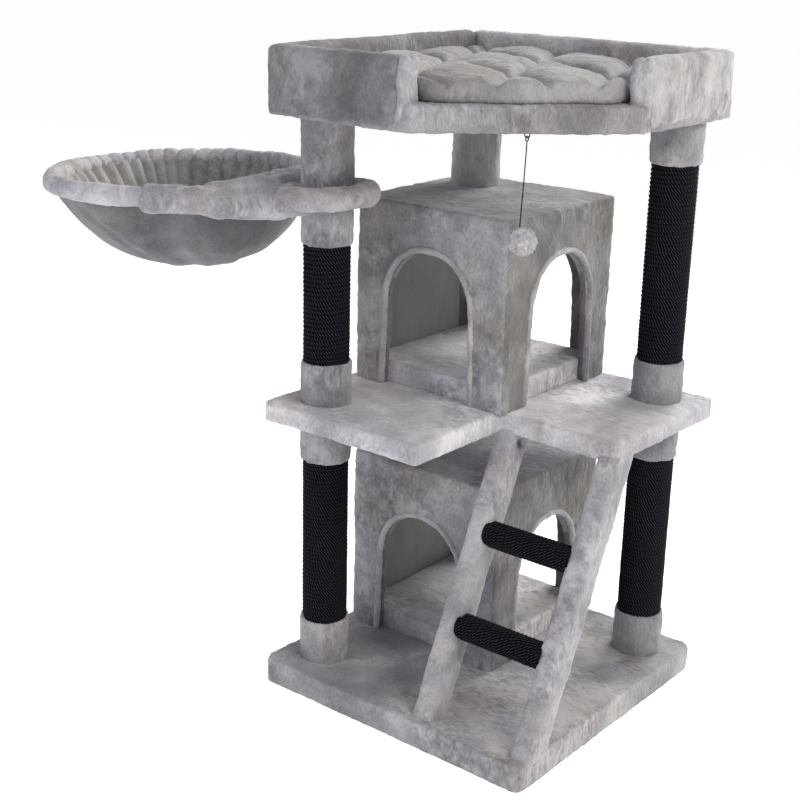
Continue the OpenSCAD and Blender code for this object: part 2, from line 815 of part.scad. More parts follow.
base_board();
base_cover();
shelf_board();
shelf_cover();
bed_board();
bed_cover();
bed_left_wall();
bed_back_wall();
bed_right_wall();
bed_front_wall();
bed_cushion();
lower_house_floor();
lower_house_front_wall();
lower_house_side_wall();
lower_house_back_wall();
lower_house_left_wall();
lower_house_roof();
lower_house_cover();
upper_house_floor();
upper_house_front_wall();
upper_house_side_wall();
upper_house_back_wall();
upper_house_left_wall();
upper_house_roof();
upper_house_cover();
hammock_post_lower_tube();
hammock_post_upper_tube();
side_post_lower_tube();
side_post_upper_tube();
rear_post_lower_tube();
rear_post_upper_tube();
hammock_post_lower_rope();
hammock_post_upper_rope();
side_post_lower_rope();
side_post_upper_rope();
hammock_post_sleeves();
side_post_sleeves();
rear_post_sleeves();
tube_plugs();
joining_studs();
post_bolts();
bolt_washers();
board_screws();
ladder_left_rail();
ladder_right_rail();
ladder_left_cover();
ladder_right_cover();
ladder_rung_cores();
upper_rung_rope();
lower_rung_rope();
rung_screws();
ladder_bolts();
hammock_frame();
hammock_rim();
hammock_ring();
hammock_basket();
toy_eye();
toy_loop();
toy_cord();
toy_pompom();
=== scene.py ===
"""Cat tree: plush covers, rope windings, houses, cushion, hammock and pompom on the fixed frame.

Metres, +Z up. The houses' front faces -Y, and the ladder's right rail is on the +X side.
"""

import json
import math

import bmesh
import bpy
import numpy as np
from mathutils import Matrix, Vector


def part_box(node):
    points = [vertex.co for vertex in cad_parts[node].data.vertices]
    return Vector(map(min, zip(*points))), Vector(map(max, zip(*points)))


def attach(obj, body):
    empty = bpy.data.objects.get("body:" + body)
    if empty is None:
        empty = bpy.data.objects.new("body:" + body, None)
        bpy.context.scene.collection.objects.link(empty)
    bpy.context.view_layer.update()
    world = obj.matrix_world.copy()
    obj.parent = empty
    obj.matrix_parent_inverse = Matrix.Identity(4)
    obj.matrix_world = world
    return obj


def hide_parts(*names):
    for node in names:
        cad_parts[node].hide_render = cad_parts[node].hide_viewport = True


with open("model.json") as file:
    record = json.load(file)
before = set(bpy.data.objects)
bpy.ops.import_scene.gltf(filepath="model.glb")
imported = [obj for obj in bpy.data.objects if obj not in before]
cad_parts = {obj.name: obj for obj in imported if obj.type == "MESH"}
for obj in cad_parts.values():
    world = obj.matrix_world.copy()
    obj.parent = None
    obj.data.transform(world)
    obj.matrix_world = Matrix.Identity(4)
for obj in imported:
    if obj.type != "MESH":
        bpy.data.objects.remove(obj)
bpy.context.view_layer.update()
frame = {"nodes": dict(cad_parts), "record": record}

MM = 0.001
UP = 2                                      # number of the upright axis
VOXEL = 4.0 * MM        # grain of the padded and covered shapes
BOARD_CORNER = 14 * MM                      # upright corners of the boards and houses
SHELF_CORNER = 7 * MM
TUCK = 8 * MM                               # how far a cover is made past what it stands on
HEM = 2.5 * MM                              # plush under a board
LATTICE_TURN = np.array(Matrix.Rotation(0.7, 3, (0.4, 0.8, 0.45)))   # keeps noise off the axes


# ---------- camera, lights and floor ----------

CAMERA_AT = Vector((1.478, -2.108, 1.421))
CAMERA_TO = Vector((-0.284, 0.078, 0.486))
CAMERA_ROLL = math.radians(1.362)
CAMERA_LENS = 65.35


def make_camera():
    """The camera at the wanted viewing angle, tilted a little about its own axis."""
    ahead = (CAMERA_TO - CAMERA_AT).normalized()
    level = ahead.cross(Vector((0, 0, 1))).normalized()
    upright = level.cross(ahead)
    right = math.cos(CAMERA_ROLL) * level + math.sin(CAMERA_ROLL) * upright
    top = math.cos(CAMERA_ROLL) * upright - math.sin(CAMERA_ROLL) * level
    lens = bpy.data.cameras.new("camera")
    lens.lens = CAMERA_LENS
    lens.sensor_width = 36
    lens.clip_end = 50
    camera = bpy.data.objects.new("camera", lens)
    turn = Matrix((right, top, -ahead)).transposed().to_4x4()
    camera.matrix_world = Matrix.Translation(CAMERA_AT) @ turn
    bpy.context.scene.collection.objects.link(camera)
    bpy.context.scene.camera = camera


def make_softbox(name, at, target, size, power, colour):
    """A square area light at a point, turned towards another."""
    light = bpy.data.lights.new(name, "AREA")
    light.shape = "SQUARE"
    light.size = size
    light.energy = power
    light.color = colour
    lamp = bpy.data.objects.new(name, light)
    lamp.location = at
    lamp.rotation_euler = (Vector(target) - Vector(at)).to_track_quat("-Z", "Y").to_euler()
    bpy.context.scene.collection.objects.link(lamp)


def make_room():
    """A pale floor, a pale surround and soft studio light."""
    scene = bpy.context.scene
    scene.view_settings.view_transform = "Standard"
    world = bpy.data.worlds.new("studio")
    world.use_nodes = True
    surround = world.node_tree.nodes["Background"]
    surround.inputs["Color"].default_value = (1.0, 1.0, 1.0, 1)
    surround.inputs["Strength"].default_value = 0.5
    scene.world = world
    make_softbox("key_light", (2.6, -0.5, 2.8), (0, 0, 0.7), 1.4, 52, (1.0, 0.955, 0.89))
    make_softbox("front_light", (-1.4, -3.2, 1.6), (-0.1, 0, 0.6), 1.6, 14, (0.84, 0.88, 1.0))
    make_softbox("back_light", (0.2, 2.9, 2.4), (0, 0, 0.8), 1.8, 120, (1.0, 0.98, 0.95))
    bm = bmesh.new()
    bmesh.ops.create_grid(bm, x_segments=1, y_segments=1, size=40)
    floor = to_piece("floor", bm)
    floor.data.transform(Matrix.Translation((0, 0, -0.5 * MM)))
    finish, _, surface = new_finish("floor_paint", 0.9)
    surface.inputs["Base Color"].default_value = (0.86, 0.86, 0.86, 1)
    surface.inputs["Emission Color"].default_value = (1, 1, 1, 1)
    surface.inputs["Emission Strength"].default_value = 0.55
    floor.data.materials.append(finish)


# ---------- mesh helpers ----------

def to_piece(name, bm):
    """A new object from a bmesh, which is used up."""
    mesh = bpy.data.meshes.new(name)
    bm.to_mesh(mesh)
    bm.free()
    piece = bpy.data.objects.new(name, mesh)
    bpy.context.scene.collection.objects.link(piece)
    return piece


def settle(piece):
    """Applies a piece's modifiers, or a curve's thickness, to one plain mesh."""
    graph = bpy.context.evaluated_depsgraph_get()
    mesh = bpy.data.meshes.new_from_object(piece.evaluated_get(graph))
    piece.modifiers.clear()
    piece.data = mesh
    return piece


def add_to(bm, other):
    """Puts another bmesh's geometry into bm."""
    mesh = bpy.data.meshes.new("part")
    other.to_mesh(mesh)
    other.free()
    bm.from_mesh(mesh)
    bpy.data.meshes.remove(mesh)
    return bm


def block(low, high):
    """A closed box between two corners."""
    bm = bmesh.new()
    low, high = Vector(low), Vector(high)
    bmesh.ops.create_cube(bm, size=1)
    bmesh.ops.scale(bm, vec=high - low, verts=bm.verts)
    bmesh.ops.translate(bm, vec=(low + high) / 2, verts=bm.verts)
    return bm


def prism(outline, low, rise):
    """A closed solid: a flat outline at height low, extruded by the vector rise."""
    bm = bmesh.new()
    face = bm.faces.new([bm.verts.new((x, y, low)) for x, y in outline])
    grown = bmesh.ops.extrude_face_region(bm, geom=[face])["geom"]
    moved = [v for v in grown if isinstance(v, bmesh.types.BMVert)]
    bmesh.ops.translate(bm, vec=rise, verts=moved)
    bmesh.ops.recalc_face_normals(bm, faces=bm.faces)
    return bm


def round_upright(bm, radius, segments=5):
    """Rounds the edges that stand up."""
    standing = [e for e in bm.edges if abs((e.verts[0].co - e.verts[1].co).normalized().z) > 0.8]
    bmesh.ops.bevel(bm, geom=standing, offset=radius, offset_type="OFFSET", segments=segments,
                    profile=0.5, affect="EDGES", material=-1, clamp_overlap=True)
    return bm


def pipe(points, radius):
    """A round tube along points, with closed ends."""
    curve = bpy.data.curves.new("pipe", "CURVE")
    curve.dimensions = "3D"
    line = curve.splines.new("POLY")
    line.points.add(len(points) - 1)
    for spot, point in zip(line.points, points):
        spot.co = (*point, 1)
    curve.bevel_depth = radius
    curve.bevel_resolution = 3
    curve.use_fill_caps = True
    holder = bpy.data.objects.new("pipe", curve)
    bpy.context.scene.collection.objects.link(holder)
    graph = bpy.context.evaluated_depsgraph_get()
    mesh = bpy.data.meshes.new_from_object(holder.evaluated_get(graph))
    bm = bmesh.new()
    bm.from_mesh(mesh)
    bmesh.ops.remove_doubles(bm, verts=bm.verts, dist=0.01 * MM)
    bpy.data.objects.remove(holder)
    bpy.data.curves.remove(curve)
    bpy.data.meshes.remove(mesh)
    return bm


def carve(piece, *cutters):
    """Cuts closed bmeshes out of a piece."""
    tools = [to_piece("cutter", cutter) for cutter in cutters]
    for tool in tools:
        cut = piece.modifiers.new("cut", "BOOLEAN")
        cut.operation = "DIFFERENCE"
        cut.solver = "EXACT"
        cut.object = tool
    settle(piece)
    for tool in tools:
        bpy.data.objects.remove(tool)
    return piece


def get_points(mesh):
    """A mesh's points and their normals, as two arrays."""
    points = np.empty(len(mesh.vertices) * 3)
    normals = np.empty(len(mesh.vertices) * 3)
    mesh.vertices.foreach_get("co", points)
    mesh.vertex_normals.foreach_get("vector", normals)
    return points.reshape(-1, 3), normals.reshape(-1, 3)


def set_points(mesh, points):
    """Moves a mesh's points."""
    mesh.vertices.foreach_set("co", points.ravel())
    mesh.update()


def press_flat(piece, axis, least=None, most=None):
    """Flattens what reaches past a plane, as cloth does against a board."""
    points, _ = get_points(piece.data)
    points[:, axis] = np.clip(points[:, axis], least, most)
    set_points(piece.data, points)
    return piece


def lumps(points, size, seed):
    """Smooth noise from -1 to 1 at each point. size is one lump's size, or one for each axis."""
    if np.ndim(size) == 0:
        points = points @ LATTICE_TURN
    spot = points / np.array(size) + seed * 13.7
    cell = np.floor(spot).astype(np.int64)
    ease = spot - cell
    ease = ease * ease * (3 - 2 * ease)
    total = np.zeros(len(points))
    for corner in range(8):
        step = np.array([corner & 1, corner >> 1 & 1, corner >> 2])
        mixed = ((cell + step) * (73856093, 19349663, 83492791)).sum(axis=1) & 0xFFFFFFFF
        mixed = (mixed ^ mixed >> 15) * 0x2C1B3C6D & 0xFFFFFFFF
        mixed = (mixed ^ mixed >> 12) * 0x297A2D39 & 0xFFFFFFFF
        share = np.where(step, ease, 1 - ease).prod(axis=1)
        total += share * ((mixed ^ mixed >> 15) / 0x7FFFFFFF - 1)
    return total


def ruffle(piece, *layers, seed=1):
    """Moves a surface in and out. Each layer is (height, lump size or sizes)."""
    points, normals = get_points(piece.data)
    shift = np.zeros(len(points))
    for number, (height, size) in enumerate(layers):
        shift += height * lumps(points, size, seed + number)
    set_points(piece.data, points + normals * shift[:, None])
    return piece


CRUSH = (1.4 * MM, 60 * MM)     # broad unevenness of plush over a board
CLUMP = (0.9 * MM, 13 * MM)     # clumps of pile
FUZZ = (0.8 * MM, 6.5 * MM)     # ends of pile
PILE = 1.0 * MM                 # how far the pile stands off the shape under it


def upholster(name, bm, passes=5, layers=(CRUSH, CLUMP, FUZZ), seed=1, voxel=None, grow=PILE):
    """Plush over a closed shape: its parts become one skin, its edges go soft, its pile uneven."""
    piece = to_piece(name, bm) if isinstance(bm, bmesh.types.BMesh) else bm
    skin = piece.modifiers.new("skin", "REMESH")
    skin.mode = "VOXEL"
    skin.voxel_size = voxel or VOXEL
    soft = piece.modifiers.new("soft", "SMOOTH")
    soft.factor = 0.5
    soft.iterations = passes
    settle(piece)
    points, normals = get_points(piece.data)
    set_points(piece.data, points + normals * grow)
    ruffle(piece, *layers, seed=seed)
    return piece


def place(piece, finish, body="tree", nodes=()):
    """Gives a finished piece its material, its body and the nodes it stands for."""
    piece.data.materials.clear()
    piece.data.materials.append(finish)
    piece.data.shade_smooth()
    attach(piece, body)
    if nodes:
        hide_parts(*nodes)
    return piece


# ---------- finishes ----------

def new_finish(name, roughness):
    """An empty material, with its node tree and its shader."""
    material = bpy.data.materials.new(name)
    material.use_nodes = True
    surface = material.node_tree.nodes["Principled BSDF"]
    surface.inputs["Roughness"].default_value = roughness
    surface.inputs["Specular IOR Level"].default_value = 0.2
    return material, material.node_tree, surface


def add_node(tree, kind, sockets=(), **settings):
    """A shader node with its settings. sockets maps an input to a value or another socket."""
    made = tree.nodes.new(kind)
    for key, value in settings.items():
        setattr(made, key, value)
    for key, value in dict(sockets).items():
        if isinstance(value, bpy.types.NodeSocket):
            tree.links.new(value, made.inputs[key])
        else:
            made.inputs[key].default_value = value
    return made


def object_place(tree, stretch=(1, 1, 1)):
    """Object coordinates, stretched."""
    coordinates = add_node(tree, "ShaderNodeTexCoord")
    mapping = add_node(tree, "ShaderNodeMapping", {"Vector": coordinates.outputs["Object"],
                                                    "Scale": stretch})
    return mapping.outputs["Vector"]


def cloudy(tree, where, scale, detail=2.0, roughness=0.5, distortion=0.0):
    """Noise from 0 to 1."""
    made = add_node(tree, "ShaderNodeTexNoise", {
        "Vector": where, "Scale": scale, "Detail": detail, "Roughness": roughness,
        "Distortion": distortion})
    return made.outputs["Fac"]


def maths(tree, operation, a, b=0.0, c=0.0):
    """One step of arithmetic in a material."""
    made = add_node(tree, "ShaderNodeMath", {0: a, 1: b, 2: c}, operation=operation)
    return made.outputs[0]


def ramp(tree, value, *stops):
    """Colours along a value: each stop is (place, colour)."""
    made = add_node(tree, "ShaderNodeValToRGB", {"Fac": value})
    band = made.color_ramp
    while len(band.elements) < len(stops):
        band.elements.new(0.5)
    for element, (at, colour) in zip(band.elements, stops):
        element.position = at
        element.color = (*colour, 1)
    return made.outputs["Color"]


def bump(tree, surface, height, strength, distance):
    """Fine relief on a material."""
    made = add_node(tree, "ShaderNodeBump", {"Height": height, "Strength": strength,
                                             "Distance": distance})
    tree.links.new(made.outputs["Normal"], surface.inputs["Normal"])


def shade(grey, cool=0.085):
    """The plush's grey, a little towards lilac, or warm where cool is below 0."""
    return (grey * 1.022, grey, grey * (1 + cool))


def plush_finish(name, dark, mid, light, patch=6.0, brushed=0.7, curl=0.0, cool=0.085):
    """Short plush: soft broad patches of pile, brushed strokes in places, and fine tips."""
    material, tree, surface = new_finish(name, 0.95)
    where = object_place(tree)
    combed = object_place(tree, (0.45, 1, 0.32))
    broad = cloudy(tree, where, patch, 1.5, 0.5, 0.3)
    crushed = cloudy(tree, where, patch * 3.1, 2.0, 0.5, 0.5)
    strokes = cloudy(tree, combed, 120.0, 2.0, 0.6, 0.6)
    tips = cloudy(tree, combed, 420.0, 2.0, 0.7)
    area = ramp(tree, cloudy(tree, where, patch * 1.4, 1.0), (0.47, (0.12, 0.12, 0.12)),
                (0.64, (1, 1, 1)))
    value = maths(tree, "MULTIPLY_ADD", broad, 0.6, maths(tree, "MULTIPLY", crushed, 0.4))
    lines = maths(tree, "MULTIPLY", maths(tree, "SUBTRACT", strokes, 0.46), brushed)
    value = maths(tree, "MULTIPLY_ADD", lines, area, value)
    value = maths(tree, "MULTIPLY_ADD", maths(tree, "SUBTRACT", tips, 0.5), 0.36, value)
    pile = ramp(tree, value, (0.33, shade(dark, cool + 0.02)), (0.5, shade(mid, cool)),
                (0.68, shade(light, cool - 0.02)))
    warm = cloudy(tree, where, patch * 0.8, 1.0, 0.5, 0.5)
    blush = ramp(tree, warm, (0.5, (1, 1, 1)), (0.68, (1.0, 0.955, 0.9)))
    coloured = add_node(tree, "ShaderNodeMix", {"Factor": 1.0}, data_type="RGBA",
                        blend_type="MULTIPLY")
    tree.links.new(pile, coloured.inputs["A"])
    tree.links.new(blush, coloured.inputs["B"])
    tree.links.new(coloured.outputs["Result"], surface.inputs["Base Color"])
    height = maths(tree, "MULTIPLY_ADD", strokes, 0.9, maths(tree, "MULTIPLY", tips, 0.6))
    if curl:
        cells = add_node(tree, "ShaderNodeTexVoronoi", {"Vector": where, "Scale": 150.0},
                         feature="SMOOTH_F1")
        height = maths(tree, "MULTIPLY_ADD", cells.outputs["Distance"], -curl, height)
    bump(tree, surface, height, 0.8, 2.6 * MM)
    surface.inputs["Sheen Weight"].default_value = 0.3
    surface.inputs["Sheen Roughness"].default_value = 0.4
    surface.inputs["Sheen Tint"].default_value = (0.97, 0.96, 1.0, 1)
    return material


def rope_finish():
    """Black twisted paper rope: three strands and fine fibres, with painted shade in the grooves
    between strands and painted highlights on their crests and a few fibres.
    """
    material, tree, surface = new_finish("black_rope", 0.75)
    lay = add_node(tree, "ShaderNodeAttribute", attribute_name="lay").outputs["Fac"]
    where = object_place(tree)
    fibre = cloudy(tree, where, 900.0, 3.0, 0.7, 0.2)
    strand = maths(tree, "SINE", maths(tree, "MULTIPLY", lay, 2 * math.pi))
    hollow = maths(tree, "MULTIPLY_ADD", maths(tree, "ABSOLUTE", strand), 0.8,
                   maths(tree, "MULTIPLY", fibre, 0.35))
    # Painted shade and highlight: near black in the grooves between strands, much lighter on their
    # crests and the brightest fibres.
    painted_groove_shade_and_glint = ramp(tree, hollow, (0.4, (0.0006, 0.0006, 0.001)), (0.8, (0.0025, 0.0024, 0.004)),
                (1.02, (0.05, 0.048, 0.064)))
    tree.links.new(painted_groove_shade_and_glint, surface.inputs["Base Color"])
    bump(tree, surface, hollow, 0.9, 1.3 * MM)
    surface.inputs["Specular IOR Level"].default_value = 0.03
    return material


def board_finish(name, dark, light, scale, roughness=0.8, stretch=(1, 1, 1)):
    """Chips, grain or paper fibre: two tones with flecks."""
    material, tree, surface = new_finish(name, roughness)
    where = object_place(tree, stretch)
    chips = cloudy(tree, where, scale, 4.0, 0.7, 0.6)
    fine = cloudy(tree, where, scale * 6, 2.0, 0.6)
    value = maths(tree, "MULTIPLY_ADD", fine, 0.3, maths(tree, "MULTIPLY", chips, 0.7))
    tree.links.new(ramp(tree, value, (0.35, dark), (0.65, light)), surface.inputs["Base Color"])
    bump(tree, surface, value, 0.25, 0.6 * MM)
    return material


def steel_finish():
    """Zinc-plated steel with faint marks."""
    material, tree, surface = new_finish("zinc_steel", 0.34)
    where = object_place(tree)
    marks = cloudy(tree, where, 260.0, 3.0, 0.6)
    tree.links.new(ramp(tree, marks, (0.3, (0.42, 0.43, 0.45)), (0.7, (0.62, 0.63, 0.65))),
                   surface.inputs["Base Color"])
    surface.inputs["Metallic"].default_value = 1.0
    bump(tree, surface, marks, 0.1, 0.1 * MM)
    return material


def cord_finish():
    """Black elastic with a fine weave."""
    material, tree, surface = new_finish("elastic_cord", 0.85)
    where = object_place(tree, (1, 1, 1))
    weave = add_node(tree, "ShaderNodeTexWave", {"Vector": where, "Scale": 160.0,
                                                 "Distortion": 0.5},
                     wave_type="BANDS", bands_direction="Z")
    tree.links.new(ramp(tree, weave.outputs["Fac"], (0.2, (0.002, 0.002, 0.003)),
                        (0.8, (0.009, 0.009, 0.011))), surface.inputs["Base Color"])
    bump(tree, surface, weave.outputs["Fac"], 0.3, 0.2 * MM)
    return material


# ---------- the toy's cord ----------

CORD_D = 2 * MM
CORD_RUN = Vector((-4.1, -3.2, -143)) * MM      # from the loop to the pompom's middle
CORD_STEPS = 18
CORD_EASE = 1.3             # above 1, the cord leaves the loop upright


def cord_points():
    """A nearly straight hang that leaves the loop upright."""
    low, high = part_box("toy_loop")
    start = (low + high) / 2
    start.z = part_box("toy_cord")[1].z
    shares = [i / CORD_STEPS for i in range(CORD_STEPS + 1)]
    return [start + Vector((CORD_RUN.x * t ** CORD_EASE, CORD_RUN.y * t ** CORD_EASE,
                            CORD_RUN.z * t))
            for t in shares]


def make_cord():
    """The elastic cord, a curve of one open spline."""
    points = cord_points()
    curve = bpy.data.curves.new("toy_cord_line", "CURVE")
    curve.dimensions = "3D"
    line = curve.splines.new("POLY")
    line.points.add(len(points) - 1)
    for spot, point in zip(line.points, points):
        spot.co = (*point, 1)
    curve.bevel_depth = CORD_D / 2
    curve.bevel_resolution = 4
    curve.use_fill_caps = True
    cord = bpy.data.objects.new("toy_elastic", curve)
    bpy.context.scene.collection.objects.link(cord)
    curve.materials.append(CORD)
    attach(cord, "toy")
    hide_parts("toy_cord")
    return cord


def cord_length():
    """The cord's length from the loop to the pompom's middle."""
    points = cord_points()
    return sum((b - a).length for a, b in zip(points, points[1:]))


# ---------- boards ----------

SHELF_NOTCH = 244 * MM      # how deep the shelf's notch runs in from the front edge


def make_base():
    """The base's plush, over its top and its edges."""
    low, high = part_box("base_cover")
    bm = round_upright(block((low.x, low.y, -TUCK), high), BOARD_CORNER)
    piece = upholster("base_plush", bm, passes=6, seed=2)
    press_flat(piece, UP, least=-0.3 * MM)
    # Painted light: the base takes a paler copy of the grey plush, as its top is lit from above.
    return place(piece, PLUSH_LIT_BASE, nodes=["base_cover"])


def make_shelf():
    """The L-shaped shelf, with the notch over the ladder."""
    low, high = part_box("shelf_cover")
    notch_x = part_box("ladder_left_cover")[0].x + 4 * MM
    notch_y = low.y + SHELF_NOTCH
    right = high.x + HEM
    outline = [(low.x, low.y), (notch_x, low.y), (notch_x, notch_y), (right, notch_y),
               (right, high.y), (low.x, high.y)]
    bm = round_upright(prism(outline, low.z - HEM, (0, 0, high.z - low.z + HEM)),
                       SHELF_CORNER)
    piece = upholster("shelf_plush", bm, passes=4, seed=3)
    # Painted light: the shelf takes a much paler copy of the plush, as lit from above.
    return place(piece, PLUSH_LIT_TOP, nodes=["shelf_cover"])


# ---------- bed ----------

BED_CUT = 20 * MM           # from the walls' ends to the board's cut corners
BED_BACK = 2.5 * MM         # how far the board's plush stands back under the walls
WRAP_GROW = 2.5 * MM        # how far the walls' plush stands off them
WRAP_GAP = 0.6 * MM         # between the two wraps, where they meet
LOOSE_IN = 1.5 * MM         # deepest hollow of the loose plush


def make_bed_board():
    """The bed's board under the walls and the cushion, open at its cut corner."""
    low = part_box("bed_cover")[0]
    wall_low, wall_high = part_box("bed_left_wall")
    front_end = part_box("bed_front_wall")[1].x
    right_low, right_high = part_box("bed_right_wall")
    left, right = wall_low.x + BED_BACK, right_high.x - BED_BACK
    outline = [(left, wall_low.y + BED_BACK), (front_end + BED_CUT + BED_BACK, low.y + BED_BACK),
               (right, right_low.y - BED_CUT - BED_BACK), (right, wall_high.y - BED_BACK),
               (left, wall_high.y - BED_BACK)]
    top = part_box("bed_board")[1].z + 2.5 * MM
    foot = low.z - HEM / 2
    bm = prism(outline, foot, (0, 0, top - foot))
    piece = upholster("bed_board_plush", bm, passes=4, seed=4, grow=2 * MM)
    return place(piece, PLUSH, nodes=["bed_cover"])


def make_bed_walls():
    """Two padded wraps: front with left, and back with right, meeting at the open seams."""
    left_low, left_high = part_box("bed_left_wall")
    back_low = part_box("bed_back_wall")[0]
    right_low, right_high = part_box("bed_right_wall")
    front_low, front_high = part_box("bed_front_wall")
    z0, z1 = left_low.z, left_high.z
    rise = (0, 0, z1 - z0)
    left = [(left_low.x, left_low.y), (front_high.x, left_low.y),
            (front_high.x, front_high.y), (left_high.x, front_high.y),
            (left_high.x, back_low.y - WRAP_GAP), (left_low.x, left_high.y)]
    right = [(left_low.x + WRAP_GAP, left_high.y), (left_high.x + WRAP_GAP, back_low.y),
             (right_low.x, back_low.y), (right_low.x, right_low.y),
             (right_high.x, right_low.y), (right_high.x, right_high.y)]
    creases = ((8.5 * MM, (45 * MM, 36 * MM, 170 * MM)), (4 * MM, 32 * MM), CLUMP)
    for name, outline, nodes, seed in (
            ("bed_left_wrap", left, ["bed_left_wall", "bed_front_wall"], 5),
            ("bed_right_wrap", right, ["bed_back_wall", "bed_right_wall"], 6)):
        bm = prism(outline, z0, rise)
        piece = upholster(name, bm, passes=60, seed=seed, grow=WRAP_GROW)
        if name == "bed_right_wrap":
            rumple_end(piece, right_high.x, right_low.y, creases)
        # Painted shade: the front-and-left wrap, turned from the key light, takes a darker copy of
        # the plush; the right wrap takes the paler plush.
        finish = PLUSH_SHADED_WALL if name == "bed_left_wrap" else PLUSH_PALE
        place(piece, finish, nodes=nodes)
    thick = front_high.y - front_low.y
    make_wall_end("bed_left_wrap_end", ((front_high.x + 3 * MM, left_low.y + thick * 0.27,
                                         thick * 0.28),
                                        (front_high.x + 8 * MM, left_low.y + thick * 0.68,
                                         thick * 0.26)), z0, z1, 7)
    make_wall_end("bed_right_wrap_end", ((right_high.x - thick * 0.22, right_low.y - 3 * MM,
                                          thick * 0.23),
                                         (right_high.x - thick * 0.66, right_low.y - 6 * MM,
                                          thick * 0.32)), z0, z1, 8)


def make_wall_end(name, lobes, z0, z1, seed):
    """The folded plush on a wall's end: two soft upright lobes with a wavy seam between them."""
    bm = bmesh.new()
    steps = 12
    for x, y, radius in lobes:
        heights = [z0 + radius * 0.3 + (z1 - z0 - radius * 1.1) * i / steps
                   for i in range(steps + 1)]
        line = [Vector((x + 0.9 * MM * math.sin(z * 95), y + 0.9 * MM * math.cos(z * 120), z))
                for z in heights]
        add_to(bm, pipe(line, radius))
        for tip in (line[0], line[-1]):
            cap = bmesh.new()
            bmesh.ops.create_icosphere(cap, subdivisions=3, radius=radius)
            bmesh.ops.translate(cap, vec=tip, verts=cap.verts)
            add_to(bm, cap)
    piece = upholster(name, bm, passes=3, layers=((0.9 * MM, 16 * MM), FUZZ), seed=seed,
                      voxel=3 * MM)
    press_flat(piece, UP, least=z0 - 1 * MM)
    place(piece, PLUSH_PALE)


def rumple_end(piece, outer_x, start_y, layers):
    """Crumples the outer face of the right wall, where its plush is loose."""
    points, normals = get_points(piece.data)
    near = np.clip(1 - (outer_x - points[:, 0]) / (30 * MM), 0, 1)
    near *= np.clip((points[:, 1] - start_y) / (60 * MM), 0, 1)
    shift = sum(height * lumps(points, size, 40 + n) for n, (height, size) in enumerate(layers))
    shift = np.maximum(near * shift, -LOOSE_IN)
    set_points(piece.data, points + normals * shift[:, None])


SEAM_SLOPE = 0.45           # the quilting's seams against the line square to the open edge
SEAM_STEP = 167 * MM        # between parallel seams, along the open edge
SEAM_STARTS = (-54 * MM, 34 * MM)       # where a seam of each family meets the open edge
CUSHION_CUT = (200 * MM, 207 * MM)      # what the open edge cuts off the front and the right side
CUSHION_INSET = 3 * MM      # how much smaller the cushion is sewn than its place
CUSHION_CORNER = 9 * MM
CUSHION_FOOT = 14 * MM      # below this the seams don't pull the cushion in
CUSHION_RISE = 10 * MM      # how much higher the cushion stands at its back
CUSHION_PLAY = 2 * MM       # how far it may press past its place at the sides
SEAM_WIDTH = 9 * MM
SEAM_DEPTH = 0.62           # how far the seams pull the top down, as a share of its height


def from_open_edge(points):
    """How far points lie inside the cushion's open edge."""
    low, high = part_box("bed_cushion")
    edge = (high.x - (low.y + CUSHION_CUT[1])) / math.sqrt(2)
    return edge - (points[:, 0] - points[:, 1]) / math.sqrt(2)


def seam_distance(points):
    """How far points lie from the cushion's two families of seams, which run off its open edge."""
    along = (points[:, 0] + points[:, 1]) / math.sqrt(2)
    inward = from_open_edge(points)
    best = np.full(len(points), 1.0)
    for sign, start in zip((-1, 1), SEAM_STARTS):
        place_in_row = (along + sign * SEAM_SLOPE * inward - start) / SEAM_STEP
        off = np.abs(place_in_row - np.round(place_in_row)) * SEAM_STEP
        best = np.minimum(best, off / math.hypot(1, SEAM_SLOPE))
    return best


def make_cushion():
    """The quilted cushion: blown up between its seams, which hold it down."""
    low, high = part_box("bed_cushion")
    outline = [(low.x, low.y), (high.x - CUSHION_CUT[0], low.y),
               (high.x, low.y + CUSHION_CUT[1]), (high.x, high.y), (low.x, high.y)]
    bm = round_upright(prism(outline, low.z - 3 * MM, (0, 0, high.z - low.z - 4 * MM)),
                       CUSHION_CORNER)
    middle = Vector(((low.x + high.x) / 2, (low.y + high.y) / 2, 0))
    shrink = 1 - 2 * CUSHION_INSET / (high.x - low.x)
    bmesh.ops.scale(bm, vec=(shrink, shrink, 1), space=Matrix.Translation(-middle),
                    verts=bm.verts)
    piece = to_piece("bed_cushion_quilt", bm)
    skin = piece.modifiers.new("skin", "REMESH")
    skin.mode = "VOXEL"
    skin.voxel_size = 8 * MM
    soft = piece.modifiers.new("soft", "SMOOTH")
    soft.iterations = 3
    settle(piece)
    points, _ = get_points(piece.data)
    rest_z = low.z + CUSHION_FOOT
    top = points[:, 2] > rest_z
    valley = np.exp(-(seam_distance(points) / SEAM_WIDTH) ** 2)
    points[:, 2] -= top * valley * (points[:, 2] - rest_z) * SEAM_DEPTH
    set_points(piece.data, points)
    blow_up(piece, low)
    finer = piece.modifiers.new("finer", "SUBSURF")
    finer.levels = 1
    finer.render_levels = 1
    settle(piece)
    ruffle(piece, (2.2 * MM, 55 * MM), (1.0 * MM, 14 * MM), FUZZ, seed=9)
    points, _ = get_points(piece.data)
    share = np.clip((points[:, 2] - low.z) / (high.z - low.z), 0, 1)
    slope = np.clip(from_open_edge(points) / (200 * MM), 0, 1)
    points[:, 2] += CUSHION_RISE * slope * share
    points[:, 2] = np.maximum(points[:, 2], low.z)
    for axis in (0, 1):
        points[:, axis] = np.clip(points[:, axis], low[axis] - CUSHION_PLAY,
                                  high[axis] + CUSHION_PLAY)
    set_points(piece.data, points)
    place(piece, FLEECE, body="cushion", nodes=["bed_cushion"])
    return piece


CLOTH_PRESSURE = 4
CLOTH_FRAMES = 20
PUFF_MOST = 22 * MM         # the farthest the pressure may move the cloth


